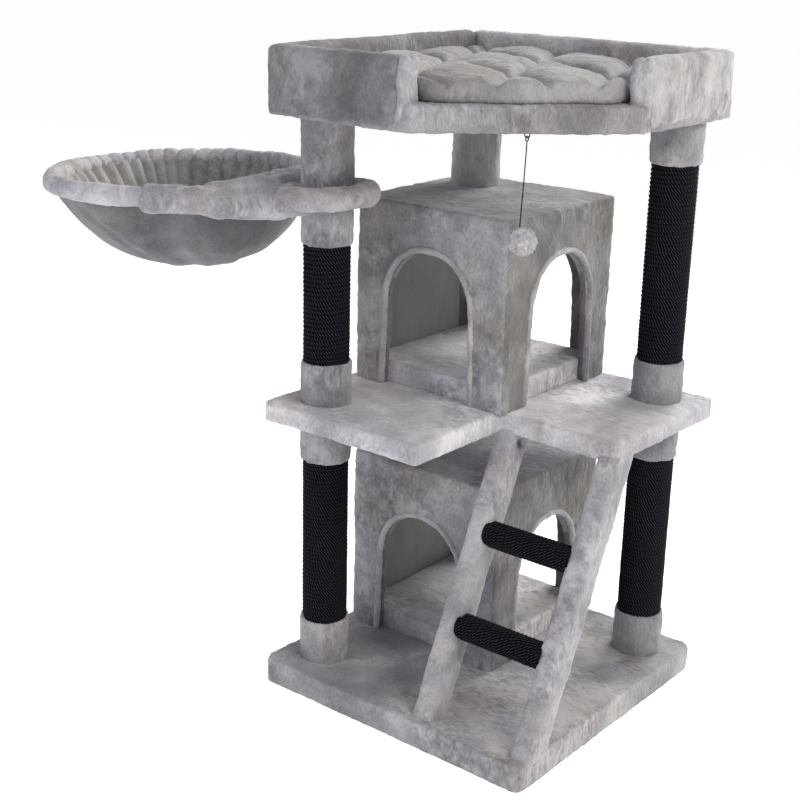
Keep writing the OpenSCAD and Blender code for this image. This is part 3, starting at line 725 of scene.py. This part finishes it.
def blow_up(piece, low):
    """Cloth under pressure, pinned along the seams on top and all over underneath."""
    start, _ = get_points(piece.data)
    held = (seam_distance(start) < 4 * MM) | (start[:, 2] < low.z + 8 * MM)
    group = piece.vertex_groups.new(name="held")
    group.add([int(i) for i in np.flatnonzero(held)], 1.0, "REPLACE")
    cloth = piece.modifiers.new("cloth", "CLOTH")
    cloth.settings.use_pressure = True
    cloth.settings.uniform_pressure_force = CLOTH_PRESSURE
    cloth.settings.quality = 4
    cloth.settings.vertex_group_mass = "held"
    cloth.settings.effector_weights.gravity = 0
    cloth.settings.tension_stiffness = 12
    cloth.settings.bending_stiffness = 0.4
    cloth.point_cache.frame_end = CLOTH_FRAMES
    scene = bpy.context.scene
    for number in range(1, CLOTH_FRAMES + 1):
        scene.frame_set(number)
    settle(piece)
    scene.frame_set(1)
    points, _ = get_points(piece.data)
    moved = points - start
    far = np.linalg.norm(moved, axis=1)
    scale = np.minimum(1, PUFF_MOST / np.maximum(far, 1e-9))
    set_points(piece.data, start + moved * scale[:, None])


# ---------- houses ----------

ARCH_W = 206 * MM
ARCH_H = 272 * MM
ARCH_SPRING = 0.58          # where the arch's legs end, as a share of its height
ARCH_FULL = 0.9             # below 1, the arch is fuller than a half ellipse
ARCH_SPREAD = 5 * MM        # how far the legs' feet stand out
BOARD_T = 12 * MM           # the houses' wall boards
SKIN_T = 6 * MM             # plush over them
ROLL_R = 5.5 * MM           # plush rolled over the edges of the doors
CORNER_STRIP = 26 * MM      # plush seen inside, beside the closed wall's panel
REVEAL_DEEP = 4.5 * MM      # where a door's edge turns into its reveal
WALL_FACES = ("front", "side", "back")


def arch_line(grow, steps=20):
    """The door's edge as (across, up), from one foot over the top to the other."""
    half = ARCH_W / 2 - ARCH_SPREAD + grow
    spring = ARCH_H * ARCH_SPRING
    bow = []
    for i in range(steps + 1):
        across = math.cos(math.pi * (1 - i / steps))
        bow.append((math.copysign(half * abs(across) ** ARCH_FULL, across),
                    spring + (ARCH_H + grow - spring) * math.sin(math.pi * i / steps)
                    ** ARCH_FULL))
    legs = 7
    rise = [(-half - ARCH_SPREAD * (1 - i / legs), spring * i / legs) for i in range(legs)]
    return rise + bow + [(-x, z) for x, z in reversed(rise)]


def on_wall(face, middle, low, high, z0, across, up, depth):
    """A point on one of the house's walls: across it, above its foot, and in from its outside."""
    if face == "front":
        return Vector((middle.x + across, low.y + depth, z0 + up))
    if face == "back":
        return Vector((middle.x + across, high.y - depth, z0 + up))
    return Vector((high.x - depth, middle.y + across, z0 + up))


def house_shell(low, high):
    """The outside of a house with its three doors cut through and its room cut out."""
    middle = (low + high) / 2
    bm = round_upright(block(low - Vector((0, 0, TUCK)), high), BOARD_CORNER)
    shell = to_piece("shell", bm)
    side = SKIN_T + BOARD_T + 1 * MM
    room = block((low.x + SKIN_T + BOARD_T / 2, low.y + side, low.z - 0.1),
                 (high.x - side, high.y - side, high.z - SKIN_T - BOARD_T / 2))
    doors = []
    for face in WALL_FACES:
        outline = arch_line(-1.5 * MM)
        bm = bmesh.new()
        ring = [bm.verts.new(on_wall(face, middle, low, high, low.z, x,
                                     z if z > 0 else -3 * TUCK, -0.05)) for x, z in outline]
        flat = bm.faces.new(ring)
        grown = bmesh.ops.extrude_face_region(bm, geom=[flat])["geom"]
        moved = [v for v in grown if isinstance(v, bmesh.types.BMVert)]
        way = (on_wall(face, middle, low, high, 0, 0, 0, 0.15)
               - on_wall(face, middle, low, high, 0, 0, 0, 0))
        bmesh.ops.translate(bm, vec=way, verts=moved)
        bmesh.ops.recalc_face_normals(bm, faces=bm.faces)
        doors.append(bm)
    return carve(shell, room, *doors)


def shade_house(piece, low, high):
    """Paints shade on the house: darker plush in the doors' reveals and the room, where shade falls,
    and a darker, less lilac plush on the +X face with the side door, which the board above shadows.
    """
    mesh = piece.data
    mesh.materials.append(PLUSH_SHADE)
    mesh.materials.append(PLUSH_SHADED_SIDE)
    count = len(mesh.polygons)
    centres = np.empty(count * 3, dtype=np.float32)
    mesh.polygons.foreach_get("center", centres)
    centres = centres.reshape(-1, 3)
    normals = np.empty(count * 3, dtype=np.float32)
    mesh.polygons.foreach_get("normal", normals)
    inner_low = np.array((low.x, low.y, -1.0)) + REVEAL_DEEP
    inner_high = np.array(high) - REVEAL_DEEP
    # Painted shade: faces inside the doors' reveals and the room take the darker plush.
    inside = ((centres > inner_low) & (centres < inner_high)).all(axis=1)
    # Painted shade: the +X face, under the board above, takes a darker, less lilac plush.
    side = normals.reshape(-1, 3)[:, 0] > 0.75
    choice = np.where(inside, 1, np.where(side, 2, 0))
    mesh.polygons.foreach_set("material_index", choice.astype(np.int32))
    mesh.update()


def make_house(storey, seed):
    """One house: its plush cover with rolled door edges and strips beside the inner panel, and its
    floor pad.
    """
    low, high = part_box(f"{storey}_house_cover")
    middle = (low + high) / 2
    shell = house_shell(low, high)
    rolls = bmesh.new()
    for face in WALL_FACES:
        line = [on_wall(face, middle, low, high, low.z, x, z if z else 2 * MM, 0)
                for x, z in arch_line(ROLL_R * 0.6)]
        add_to(rolls, pipe(line, ROLL_R))
    rolled = upholster(f"{storey}_house_door_rolls", rolls, passes=3,
                       layers=((1.1 * MM, 20 * MM), FUZZ), seed=seed + 2, voxel=VOXEL * 0.7)
    press_flat(rolled, UP, least=low.z)
    place(rolled, PLUSH_PALE)
    bm = bmesh.new()
    bm.from_mesh(shell.data)
    room_low = low + Vector((SKIN_T + BOARD_T, SKIN_T + BOARD_T, 0))
    room_top = high.z - SKIN_T - BOARD_T
    for y in (room_low.y, high.y - SKIN_T - BOARD_T - CORNER_STRIP):
        add_to(bm, block((room_low.x - 4 * MM, y, low.z),
                         (room_low.x + 4 * MM, y + CORNER_STRIP, room_top + 4 * MM)))
    bpy.data.objects.remove(shell)
    piece = upholster(f"{storey}_house_plush", bm, passes=12, seed=seed)
    press_flat(piece, UP, least=low.z - 1 * MM)
    place(piece, PLUSH, nodes=[f"{storey}_house_cover"])
    shade_house(piece, low, high)
    floor_low, floor_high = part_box(f"{storey}_house_floor")
    pad = upholster(f"{storey}_house_floor_pad", block(floor_low, floor_high), passes=6,
                    seed=seed + 1)
    # Painted light: the floor pad takes the much paler copy of the plush, as lit from above.
    place(pad, PLUSH_LIT_TOP, nodes=[f"{storey}_house_floor"])


# ---------- posts ----------

ROPE_PITCH = 8 * MM
STRAND_LAY = 15 * MM        # length in which one strand goes once round the rope
LAY_WANDER = (6 * MM, 71 * MM)      # how far the lay shifts to and fro, and over what length
ROPE_TUCK = 2.5 * MM        # how far a winding runs under the plush at its ends


def wind_rope(length, outer_r, coil_r):
    """Rope wound close on a post that stands on the origin: a half-round profile on a helix."""
    turns = int(length / ROPE_PITCH)
    pitch = length / turns
    steps = 96
    sides = 7
    bm = bmesh.new()
    centre_r = outer_r - coil_r
    ring = []
    for k in range(sides):
        angle = math.radians(-100 + 200 * k / (sides - 1))
        ring.append(bm.verts.new((centre_r + coil_r * math.cos(angle), 0,
                                  coil_r * math.sin(angle) * 1.02)))
    edges = [bm.edges.new(pair) for pair in zip(ring, ring[1:])]
    bmesh.ops.spin(bm, geom=ring + edges, cent=(0, 0, 0), axis=(0, 0, 1),
                   angle=math.tau * (turns + 1), dvec=(0, 0, pitch / steps),
                   steps=steps * (turns + 1), use_duplicate=False)
    bmesh.ops.translate(bm, vec=(0, 0, -pitch / 2), verts=bm.verts)
    return bm, pitch, centre_r


def add_lay(piece, pitch, centre_r, foot):
    """Stores how far along and round the rope each point lies, which twists the strands."""
    points, _ = get_points(piece.data)
    turn = np.arctan2(points[:, 1], points[:, 0]) / math.tau
    height = points[:, 2] - foot - turn * pitch
    row = np.round(height / pitch)
    off = height - row * pitch
    out = np.hypot(points[:, 0], points[:, 1]) - centre_r
    round_it = np.arctan2(off, out) / math.tau
    along = (row + turn) * math.tau * centre_r
    along += LAY_WANDER[0] * np.sin(along / LAY_WANDER[1])
    lay = piece.data.attributes.new("lay", "FLOAT", "POINT")
    lay.data.foreach_set("value", (along / STRAND_LAY * 1.5 + round_it * 1.5)
                         .astype(np.float32))


def make_winding(name, node, along_x=False):
    """A rope winding that stands for one node, on a post or on a rung."""
    low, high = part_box(node)
    size = high - low
    middle = (low + high) / 2
    outer_r = (size.y if along_x else size.x) / 2
    length = (size.x if along_x else size.z) + 2 * ROPE_TUCK
    coil_r = ROPE_PITCH / 2
    bm, pitch, centre_r = wind_rope(length, outer_r, coil_r)
    piece = to_piece(name, bm)
    add_lay(piece, pitch, centre_r, -pitch / 2)
    press_flat(piece, UP, least=-0.5 * MM, most=length + 0.5 * MM)
    turn = Matrix.Rotation(math.radians(90), 4, "Y") if along_x else Matrix.Identity(4)
    foot = Vector((low.x, middle.y, middle.z)) if along_x else Vector((middle.x, middle.y, low.z))
    foot -= ROPE_TUCK * Vector((along_x, 0, not along_x))
    piece.data.transform(Matrix.Translation(foot) @ turn)
    bm = bmesh.new()
    bm.from_mesh(piece.data)
    bmesh.ops.recalc_face_normals(bm, faces=bm.faces)
    bm.to_mesh(piece.data)
    bm.free()
    ruffle(piece, (0.35 * MM, 20 * MM), (0.3 * MM, 3 * MM), seed=12)
    return place(piece, ROPE, nodes=[node])


def sleeve_shape(axis, foot, head, radius):
    """One plush cuff: a short fat tube."""
    bm = bmesh.new()
    bmesh.ops.create_cone(bm, cap_ends=True, segments=48, radius1=radius, radius2=radius,
                          depth=head - foot)
    bmesh.ops.translate(bm, vec=(axis.x, axis.y, (foot + head) / 2), verts=bm.verts)
    return bm


def make_sleeves(post, gaps, seed):
    """A post's plush cuffs, one object of separate tubes, one for each stretch without rope."""
    low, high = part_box(f"{post}_sleeves")
    middle = (low + high) / 2
    radius = (high.x - low.x) / 2
    cuffs = None
    for foot, head in gaps:
        bm = sleeve_shape(middle, foot, head, radius)
        cuffs = bm if cuffs is None else add_to(cuffs, bm)
    piece = upholster(f"{post}_plush", cuffs, passes=3,
                      layers=((0.9 * MM, (25 * MM, 25 * MM, 60 * MM)), CLUMP, FUZZ), seed=seed)
    finish = PLUSH_WARM if post == "rear_post" else PLUSH
    return place(piece, finish, nodes=[f"{post}_sleeves"])


def make_posts():
    """The cuffs and windings of the three posts."""
    base_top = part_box("base_cover")[1].z
    shelf_low, shelf_high = (c.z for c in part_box("shelf_cover"))
    bed_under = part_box("bed_cover")[0].z
    for post, seed in (("hammock_post", 21), ("side_post", 22)):
        lower = [c.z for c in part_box(f"{post}_lower_rope")]
        upper = [c.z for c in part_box(f"{post}_upper_rope")]
        make_sleeves(post, [(base_top - TUCK, lower[0]), (lower[1], shelf_low + TUCK),
                            (shelf_high - TUCK, upper[0]), (upper[1], bed_under + TUCK)], seed)
        for level in ("lower", "upper"):
            make_winding(f"{post}_{level}_winding", f"{post}_{level}_rope")
    make_sleeves("rear_post", [(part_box("lower_house_cover")[1].z - TUCK, shelf_low + TUCK),
                               (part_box("upper_house_cover")[1].z - TUCK, bed_under + TUCK)], 23)


# ---------- ladder ----------

RAIL_DEPTH = 58 * MM
RAIL_CORNER = 8 * MM
POCKET = (24 * MM, 10 * MM)         # the bolt pocket's depth, and half its width


def make_rail(side, seed):
    """One leaning rail with rounded edges; the left one also has the pocket for the bolt at its
    head.
    """
    low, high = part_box(f"ladder_{side}_cover")
    outline = [(low.x, low.y), (high.x, low.y), (high.x, low.y + RAIL_DEPTH),
               (low.x, low.y + RAIL_DEPTH)]
    lean = high.y - low.y - RAIL_DEPTH
    bm = prism(outline, low.z, (0, lean, high.z - low.z))
    slope = lean / (high.z - low.z)
    for v in bm.verts:
        past = -5 * MM if v.co.z < (low.z + high.z) / 2 else TUCK
        v.co += Vector((0, slope * past, past))
    standing = [e for e in bm.edges if abs(e.verts[0].co.z - e.verts[1].co.z) > 0.1]
    bmesh.ops.bevel(bm, geom=standing, offset=RAIL_CORNER, offset_type="OFFSET",
                    segments=3,
                    profile=0.5, affect="EDGES", material=-1)
    piece = to_piece(f"ladder_{side}_plush", bm)
    bolts = frame["nodes"]["ladder_bolts"].data
    spots = [v.co for v in bolts.vertices if low.x < v.co.x < high.x]
    bolt = sum(spots, Vector()) / len(spots)
    foot = min(v.z for v in spots)
    if side == "left":
        carve(piece, block((high.x - POCKET[0], bolt.y - POCKET[1], foot - 15 * MM),
                           (high.x + 0.1, bolt.y + POCKET[1], foot + 5 * MM)))
    upholster(piece.name, piece, passes=5, layers=((1.4 * MM, 40 * MM), CLUMP, FUZZ), seed=seed,
              grow=3.2 * MM)
    return place(piece, PLUSH_PALE, nodes=[f"ladder_{side}_cover"])


def make_ladder():
    """Both rails and both rungs."""
    make_rail("left", 31)
    make_rail("right", 32)
    for rung in ("upper", "lower"):
        make_winding(f"{rung}_rung_winding", f"{rung}_rung_rope", along_x=True)


# ---------- hammock ----------

DROOP = math.radians(-1.7)      # the whole hammock leans out a little
RING_TILT = math.radians(-4)    # the basket's weight pulls its side of the ring down
RIM_R = 19.5 * MM
RING_R = 22 * MM
BASKET_DEPTH = 160 * MM
BASKET_POWER = 2.9              # higher makes the bowl fuller near its rim
RIM_FOLDS = 50
RING_FOLDS = 15
LINING_FOLDS = 25
LINING_IN = 13 * MM             # how far inside the outer cloth the lining is sewn on
CREASE_AT = math.radians(-64)   # the one sharp crease in front


def hammock_places():
    """The ring's middle, the hoop's middle before the droop, and both rings' radii."""
    ring_low, ring_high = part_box("hammock_ring")
    rim_low, rim_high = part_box("hammock_rim")
    middle = (ring_low + ring_high) / 2
    ring = (ring_high.y - ring_low.y) / 2 - RING_R
    hoop = (rim_high.y - rim_low.y) / 2 - RIM_R
    away = (middle.x - (rim_low.x + rim_high.x) / 2) / math.cos(DROOP)
    return middle, Vector((-away, 0, 0)), ring, hoop


def hang(piece, middle):
    """Moves a level piece, made with the post's axis at the origin, to where the hammock hangs."""
    piece.data.transform(Matrix.Translation(middle) @ Matrix.Rotation(DROOP, 4, "Y"))
    return piece


def torus(radius, tube, centre, steps, sides):
    """A closed ring of round section."""
    bm = bmesh.new()
    made = bmesh.ops.create_circle(bm, segments=sides, radius=tube)["verts"]
    bmesh.ops.rotate(bm, cent=(0, 0, 0), matrix=Matrix.Rotation(math.radians(90), 3, "X"),
                     verts=made)
    bmesh.ops.translate(bm, vec=(radius, 0, 0), verts=made)
    bmesh.ops.spin(bm, geom=bm.verts[:] + bm.edges[:], cent=(0, 0, 0), axis=(0, 0, 1),
                   angle=math.tau, steps=steps, use_merge=True, use_duplicate=False)
    bmesh.ops.remove_doubles(bm, verts=bm.verts, dist=0.01 * MM)
    bmesh.ops.recalc_face_normals(bm, faces=bm.faces)
    bmesh.ops.translate(bm, vec=centre, verts=bm.verts)
    return bm


def gather(piece, centre, folds, depth, seed):
    """Pulls creases across a padded ring. depth gives a share of its thickness for each angle."""
    points, normals = get_points(piece.data)
    flat = points - np.array(centre)
    angle = np.arctan2(flat[:, 1], flat[:, 0])
    jitter = 0.35 * lumps(np.stack([np.cos(angle), np.sin(angle), points[:, 2] * 6], 1),
                          0.21, seed)
    wave = np.abs(np.cos(folds * angle / 2 + jitter * 3))
    crease = np.exp(-(wave / 0.3) ** 2)
    outward = (normals[:, 0] * np.cos(angle) + normals[:, 1] * np.sin(angle))
    crease *= np.clip(0.75 - outward, 0.1, 1)
    set_points(piece.data, points - normals * (crease * depth(angle))[:, None])


def make_rim():
    """The basket's padded rim: smooth in front, gathered towards its back."""
    middle, centre, _, hoop = hammock_places()
    steps, sides = ((420, 30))
    piece = to_piece("hammock_rim_plush", torus(hoop, RIM_R * 0.95, centre, steps, sides))
    gather(piece, centre, RIM_FOLDS, lambda a: MM * (
        0.5 + 6.0 * np.clip(np.sin(a - 0.3) + 0.5, 0, 1)), 51)
    ruffle(piece, (2.0 * MM, 55 * MM), (1.4 * MM, 17 * MM), FUZZ, seed=52)
    hang(piece, middle)
    place(piece, PLUSH_SOFT, body="hammock", nodes=["hammock_rim"])


def keep_off_post(piece, least):
    """Pushes what comes nearer than least to the post's axis, at the origin, out to it."""
    points, _ = get_points(piece.data)
    out = np.hypot(points[:, 0], points[:, 1])
    grow = np.maximum(least / np.maximum(out, 1e-6), 1)
    points[:, 0] *= grow
    points[:, 1] *= grow
    set_points(piece.data, points)


def make_ring():
    """The padded ring round the post."""
    middle, _, ring, _ = hammock_places()
    steps, sides = ((200, 32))
    piece = to_piece("hammock_ring_plush", torus(ring, RING_R, Vector(), steps, sides))
    gather(piece, Vector(), RING_FOLDS, lambda a: 2.4 * MM + 0 * a, 53)
    ruffle(piece, (2.2 * MM, 45 * MM), (1.2 * MM, 15 * MM), FUZZ, seed=54)
    keep_off_post(piece, ring - RING_R + 0.5 * MM)
    piece.data.transform(Matrix.Rotation(RING_TILT, 4, "Y"))
    hang(piece, middle)
    place(piece, PLUSH_PALE, body="hammock", nodes=["hammock_ring"])


def make_neck():
    """The plush that wraps from the rim on to the ring, with slanting twisted folds."""
    middle, centre, ring, hoop = hammock_places()

    def at(of, radius, degrees, z=0.0):
        angle = math.radians(degrees)
        return of + Vector((radius * math.cos(angle), radius * math.sin(angle), z))

    post = Vector()
    front = [at(centre, hoop, -60), at(centre, hoop, -48, -3 * MM),
             at(centre, hoop, -37, -8 * MM),
             at(centre, hoop, -27, -15 * MM) + Vector((14 * MM, -8 * MM, 0)),
             at(post, ring, -138, -17 * MM) + Vector((-10 * MM, -9 * MM, 0)),
             at(post, ring + 2 * MM, -114, -13 * MM), at(post, ring, -88, -4 * MM)]
    rear = [at(centre, hoop, 56), at(centre, hoop, 42, -2 * MM),
            at(centre, hoop, 28, -4 * MM) + Vector((12 * MM, 6 * MM, 0)),
            at(post, ring, 136, -5 * MM) + Vector((-10 * MM, 9 * MM, 0)),
            at(post, ring, 116, -3 * MM), at(post, ring, 96)]
    strands = [(front, 25), (rear, 19)]
    for side in (-1, 1):
        strands.append(([at(centre, hoop - 4 * MM, side * 34), at(centre, hoop + 14 * MM, side * 18),
                         at(post, ring + 10 * MM, side * 150, -6 * MM),
                         at(post, ring, side * 125, -4 * MM)], 19))
    strands.append(([at(centre, hoop, -16), at(centre, hoop, 0), at(centre, hoop, 16)], 18))
    strands.append(([at(centre, hoop - 10 * MM, -30, 3 * MM),
                     at(centre, hoop + 22 * MM, -17, 17 * MM),
                     at(post, ring + 12 * MM, 178, 12 * MM)], 17))
    strands.append(([at(centre, hoop - 2 * MM, 52, 2 * MM), at(centre, hoop - 14 * MM, 26, 8 * MM),
                     at(centre, hoop - 10 * MM, -4, 10 * MM),
                     at(centre, hoop - 6 * MM, -34, 2 * MM)], 20))
    strands.append(([at(centre, hoop + 5 * MM, 34, 8 * MM), at(centre, hoop + 16 * MM, 12, 14 * MM),
                     at(centre, hoop + 24 * MM, -8, 12 * MM)], 19))
    bm = bmesh.new()
    for line, thick in strands:
        add_to(bm, pipe(line, thick * MM))
    piece = upholster("hammock_neck_plush", bm, passes=10, voxel=VOXEL,
                      layers=((4.2 * MM, (24 * MM, 60 * MM, 28 * MM)), (1.8 * MM, 17 * MM), FUZZ),
                      seed=55)
    keep_off_post(piece, ring - RING_R + 1 * MM)
    hang(piece, middle)
    place(piece, PLUSH_PALE, body="hammock")


def bowl(radius, depth, rings, steps):
    """A bowl-shaped sheet, open at the top: a profile spun about the upright axis."""
    bm = bmesh.new()
    line = []
    for i in range(rings + 1):
        r = radius * i / rings
        line.append(bm.verts.new((r, 0, -depth * (1 - (r / radius) ** BASKET_POWER))))
    edges = [bm.edges.new(pair) for pair in zip(line, line[1:])]
    bmesh.ops.spin(bm, geom=line + edges, cent=(0, 0, 0), axis=(0, 0, 1), angle=math.tau,
                   steps=steps, use_merge=True, use_duplicate=False)
    bmesh.ops.remove_doubles(bm, verts=bm.verts, dist=0.01 * MM)
    bmesh.ops.recalc_face_normals(bm, faces=bm.faces)
    return bm


def round_middle(points, radius):
    """Where points lie about the middle: their distance, as a share of radius, and their angle."""
    return (np.hypot(points[:, 0], points[:, 1]) / radius,
            np.arctan2(points[:, 1], points[:, 0]))


def sag(points, radius, off):
    """Moves the bottom of the bowl towards the post, where the basket's weight hangs."""
    r = np.hypot(points[:, 0], points[:, 1]) / radius
    points[:, 0] += off * np.clip(1 - r * r, 0, 1)
    return points


def make_basket():
    """The basket: a smooth velvet outside with long slack folds, and a ruched lining."""
    middle, centre, _, hoop = hammock_places()
    rings, steps = ((64, 300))
    radius = hoop + 7 * MM
    outside = to_piece("hammock_bowl", bowl(radius, BASKET_DEPTH, rings, steps))
    points, normals = get_points(outside.data)
    points = sag(points, radius, 26 * MM)
    r, angle = round_middle(points, radius)
    swirl = np.stack([np.cos(angle + r * 0.9), np.sin(angle + r * 0.9), r * 0.3], 1)
    slack = 4.5 * MM * lumps(swirl, 0.3, 61) + 2.2 * MM * lumps(swirl, 0.13, 65)
    slack *= np.clip(r * 1.6, 0, 1) * np.clip((1 - r) * 6, 0, 1)
    slack += 1.2 * MM * lumps(points, 24 * MM, 62)
    away = np.abs(angle - CREASE_AT)
    slack -= 4 * MM * np.exp(-(away / 0.022) ** 2) * np.clip((r - 0.8) * 6, 0, 1)
    points += normals * slack[:, None]
    set_points(outside.data, points)
    cloth_wall(outside, 2.4 * MM)
    outside.data.transform(Matrix.Translation(centre))
    hang(outside, middle)
    place(outside, VELVET, body="hammock", nodes=["hammock_basket"])

    inner = bowl(radius - LINING_IN, BASKET_DEPTH - 6 * MM, rings, steps)
    lining = to_piece("hammock_lining", inner)
    points, normals = get_points(lining.data)
    points = sag(points, radius, 25 * MM)
    r, angle = round_middle(points, radius)
    ray = np.stack([np.cos(angle), np.sin(angle), r * 0.2], 1)
    wander = 2.5 * lumps(ray, 0.5, 63)
    ruche = np.abs(np.cos(LINING_FOLDS * angle + wander)) ** 0.5
    height = np.clip((r - 0.55) / 0.3, 0, 1)
    inward = (ruche - 0.3) * 14 * MM * height + 3 * MM * lumps(points, 45 * MM, 64) * (r > 0.05)
    toward = np.where(normals[:, 2:3] > 0, 1.0, -1.0) * normals
    points += toward * np.maximum(inward, -2 * MM)[:, None]
    set_points(lining.data, points)
    cloth_wall(lining, 1.6 * MM)
    lining.data.transform(Matrix.Translation(centre))
    hang(lining, middle)
    place(lining, LINING, body="hammock")
    return outside, lining


def cloth_wall(piece, thick):
    """Gives a sheet its thickness."""
    wall = piece.modifiers.new("wall", "SOLIDIFY")
    wall.thickness = thick
    wall.offset = 0
    settle(piece)


# ---------- toy ----------

def make_pompom():
    """A dense ball of yarn ends."""
    low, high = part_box("toy_pompom")
    radius = (high.x - low.x) / 2
    bm = bmesh.new()
    bmesh.ops.create_icosphere(bm, subdivisions=7, radius=radius * 0.95)
    bmesh.ops.translate(bm, vec=(low + high) / 2, verts=bm.verts)
    piece = to_piece("toy_pompom_yarn", bm)
    ruffle(piece, (1.6 * MM, 11 * MM), (1.7 * MM, 4 * MM), (1.1 * MM, 1.9 * MM), seed=71)
    return place(piece, YARN, body="toy", nodes=["toy_pompom"])


def make_toy():
    """The cord with its loop and its pompom."""
    cord = make_cord()
    pompom = make_pompom()
    repaint("toy_loop", CORD)
    repaint("toy_eye", CORD)
    start = cord_points()[0]
    cord_length()


# ---------- the frame's own nodes ----------

def repaint(node, finish):
    """Gives a CAD node a finish, as one material."""
    mesh = frame["nodes"][node].data
    mesh.materials.clear()
    mesh.materials.append(finish)


def repaint_frame():
    """Finishes for the inner parts, which keep the frame's own shapes."""
    chipboard = board_finish("chipboard", (0.36, 0.24, 0.13), (0.58, 0.43, 0.27), 240.0)
    timber = board_finish("pine", (0.48, 0.33, 0.18), (0.66, 0.5, 0.31), 60.0, 0.7, (1, 1, 0.08))
    tube = board_finish("cardboard_tube", (0.36, 0.26, 0.17), (0.5, 0.39, 0.27), 90.0, 0.9)
    panel = board_finish("house_board", (0.27, 0.265, 0.258), (0.33, 0.325, 0.315), 38.0, 0.85,
                         (1, 1, 0.3))
    steel = steel_finish()
    slots = {row["node"]: row["material_slot"] for row in frame["record"]["subparts"]}
    finishes = {"chipboard": chipboard, "timber": timber, "cardboard_tube": tube,
                "house_board": panel, "steel": steel}
    for node, slot in slots.items():
        if slot in finishes and node != "toy_eye":
            repaint(node, finishes[slot])


# ---------- the whole tree ----------

make_camera()
CORD = cord_finish()
PLUSH = plush_finish("grey_plush", 0.16, 0.26, 0.4)
# A paler copy of the grey plush for the base: painted light on its top.
PLUSH_LIT_BASE = plush_finish("grey_plush_lit_base", 0.19, 0.3, 0.46)
# A darker copy of the grey plush for the bed's front and left walls: painted shade.
PLUSH_SHADED_WALL = plush_finish("grey_plush_shaded_wall", 0.12, 0.19, 0.3)
PLUSH_WARM = plush_finish("grey_plush_warm", 0.24, 0.35, 0.47, cool=-0.015)
PLUSH_PALE = plush_finish("pale_plush", 0.23, 0.345, 0.49, patch=9.0)
# A much paler copy of the plush for the shelf and the houses' floor pads: painted light on tops.
PLUSH_LIT_TOP = plush_finish("lit_top_plush", 0.3, 0.46, 0.68, brushed=0.9)
FLEECE = plush_finish("grey_fleece", 0.18, 0.26, 0.36, patch=5.0, curl=0.5, cool=0.03)
VELVET = plush_finish("grey_velvet", 0.095, 0.14, 0.2, patch=7.0, brushed=0.3)
LINING = plush_finish("grey_lining", 0.21, 0.31, 0.42, patch=7.0, curl=0.4, cool=0.01)
YARN = plush_finish("pale_yarn", 0.28, 0.38, 0.5, patch=60.0)
# A darker copy of the plush for the houses' door reveals and rooms: painted shade.
PLUSH_SHADE = plush_finish("grey_plush_shade", 0.085, 0.13, 0.2)
# A darker, less lilac copy for the houses' +X faces: painted shade cast by the boards above.
PLUSH_SHADED_SIDE = plush_finish("grey_plush_shaded_side", 0.125, 0.2, 0.32, cool=0.0)
PLUSH_SOFT = plush_finish("soft_plush", 0.29, 0.43, 0.6, patch=9.0)
ROPE = rope_finish()

make_toy()
make_room()
make_base()
make_shelf()
make_bed_board()
make_bed_walls()
make_cushion()
make_house("lower", 11)
make_house("upper", 14)
make_posts()
make_ladder()
make_rim()
make_ring()
make_neck()
for cloth_piece in make_basket():
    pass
repaint_frame()
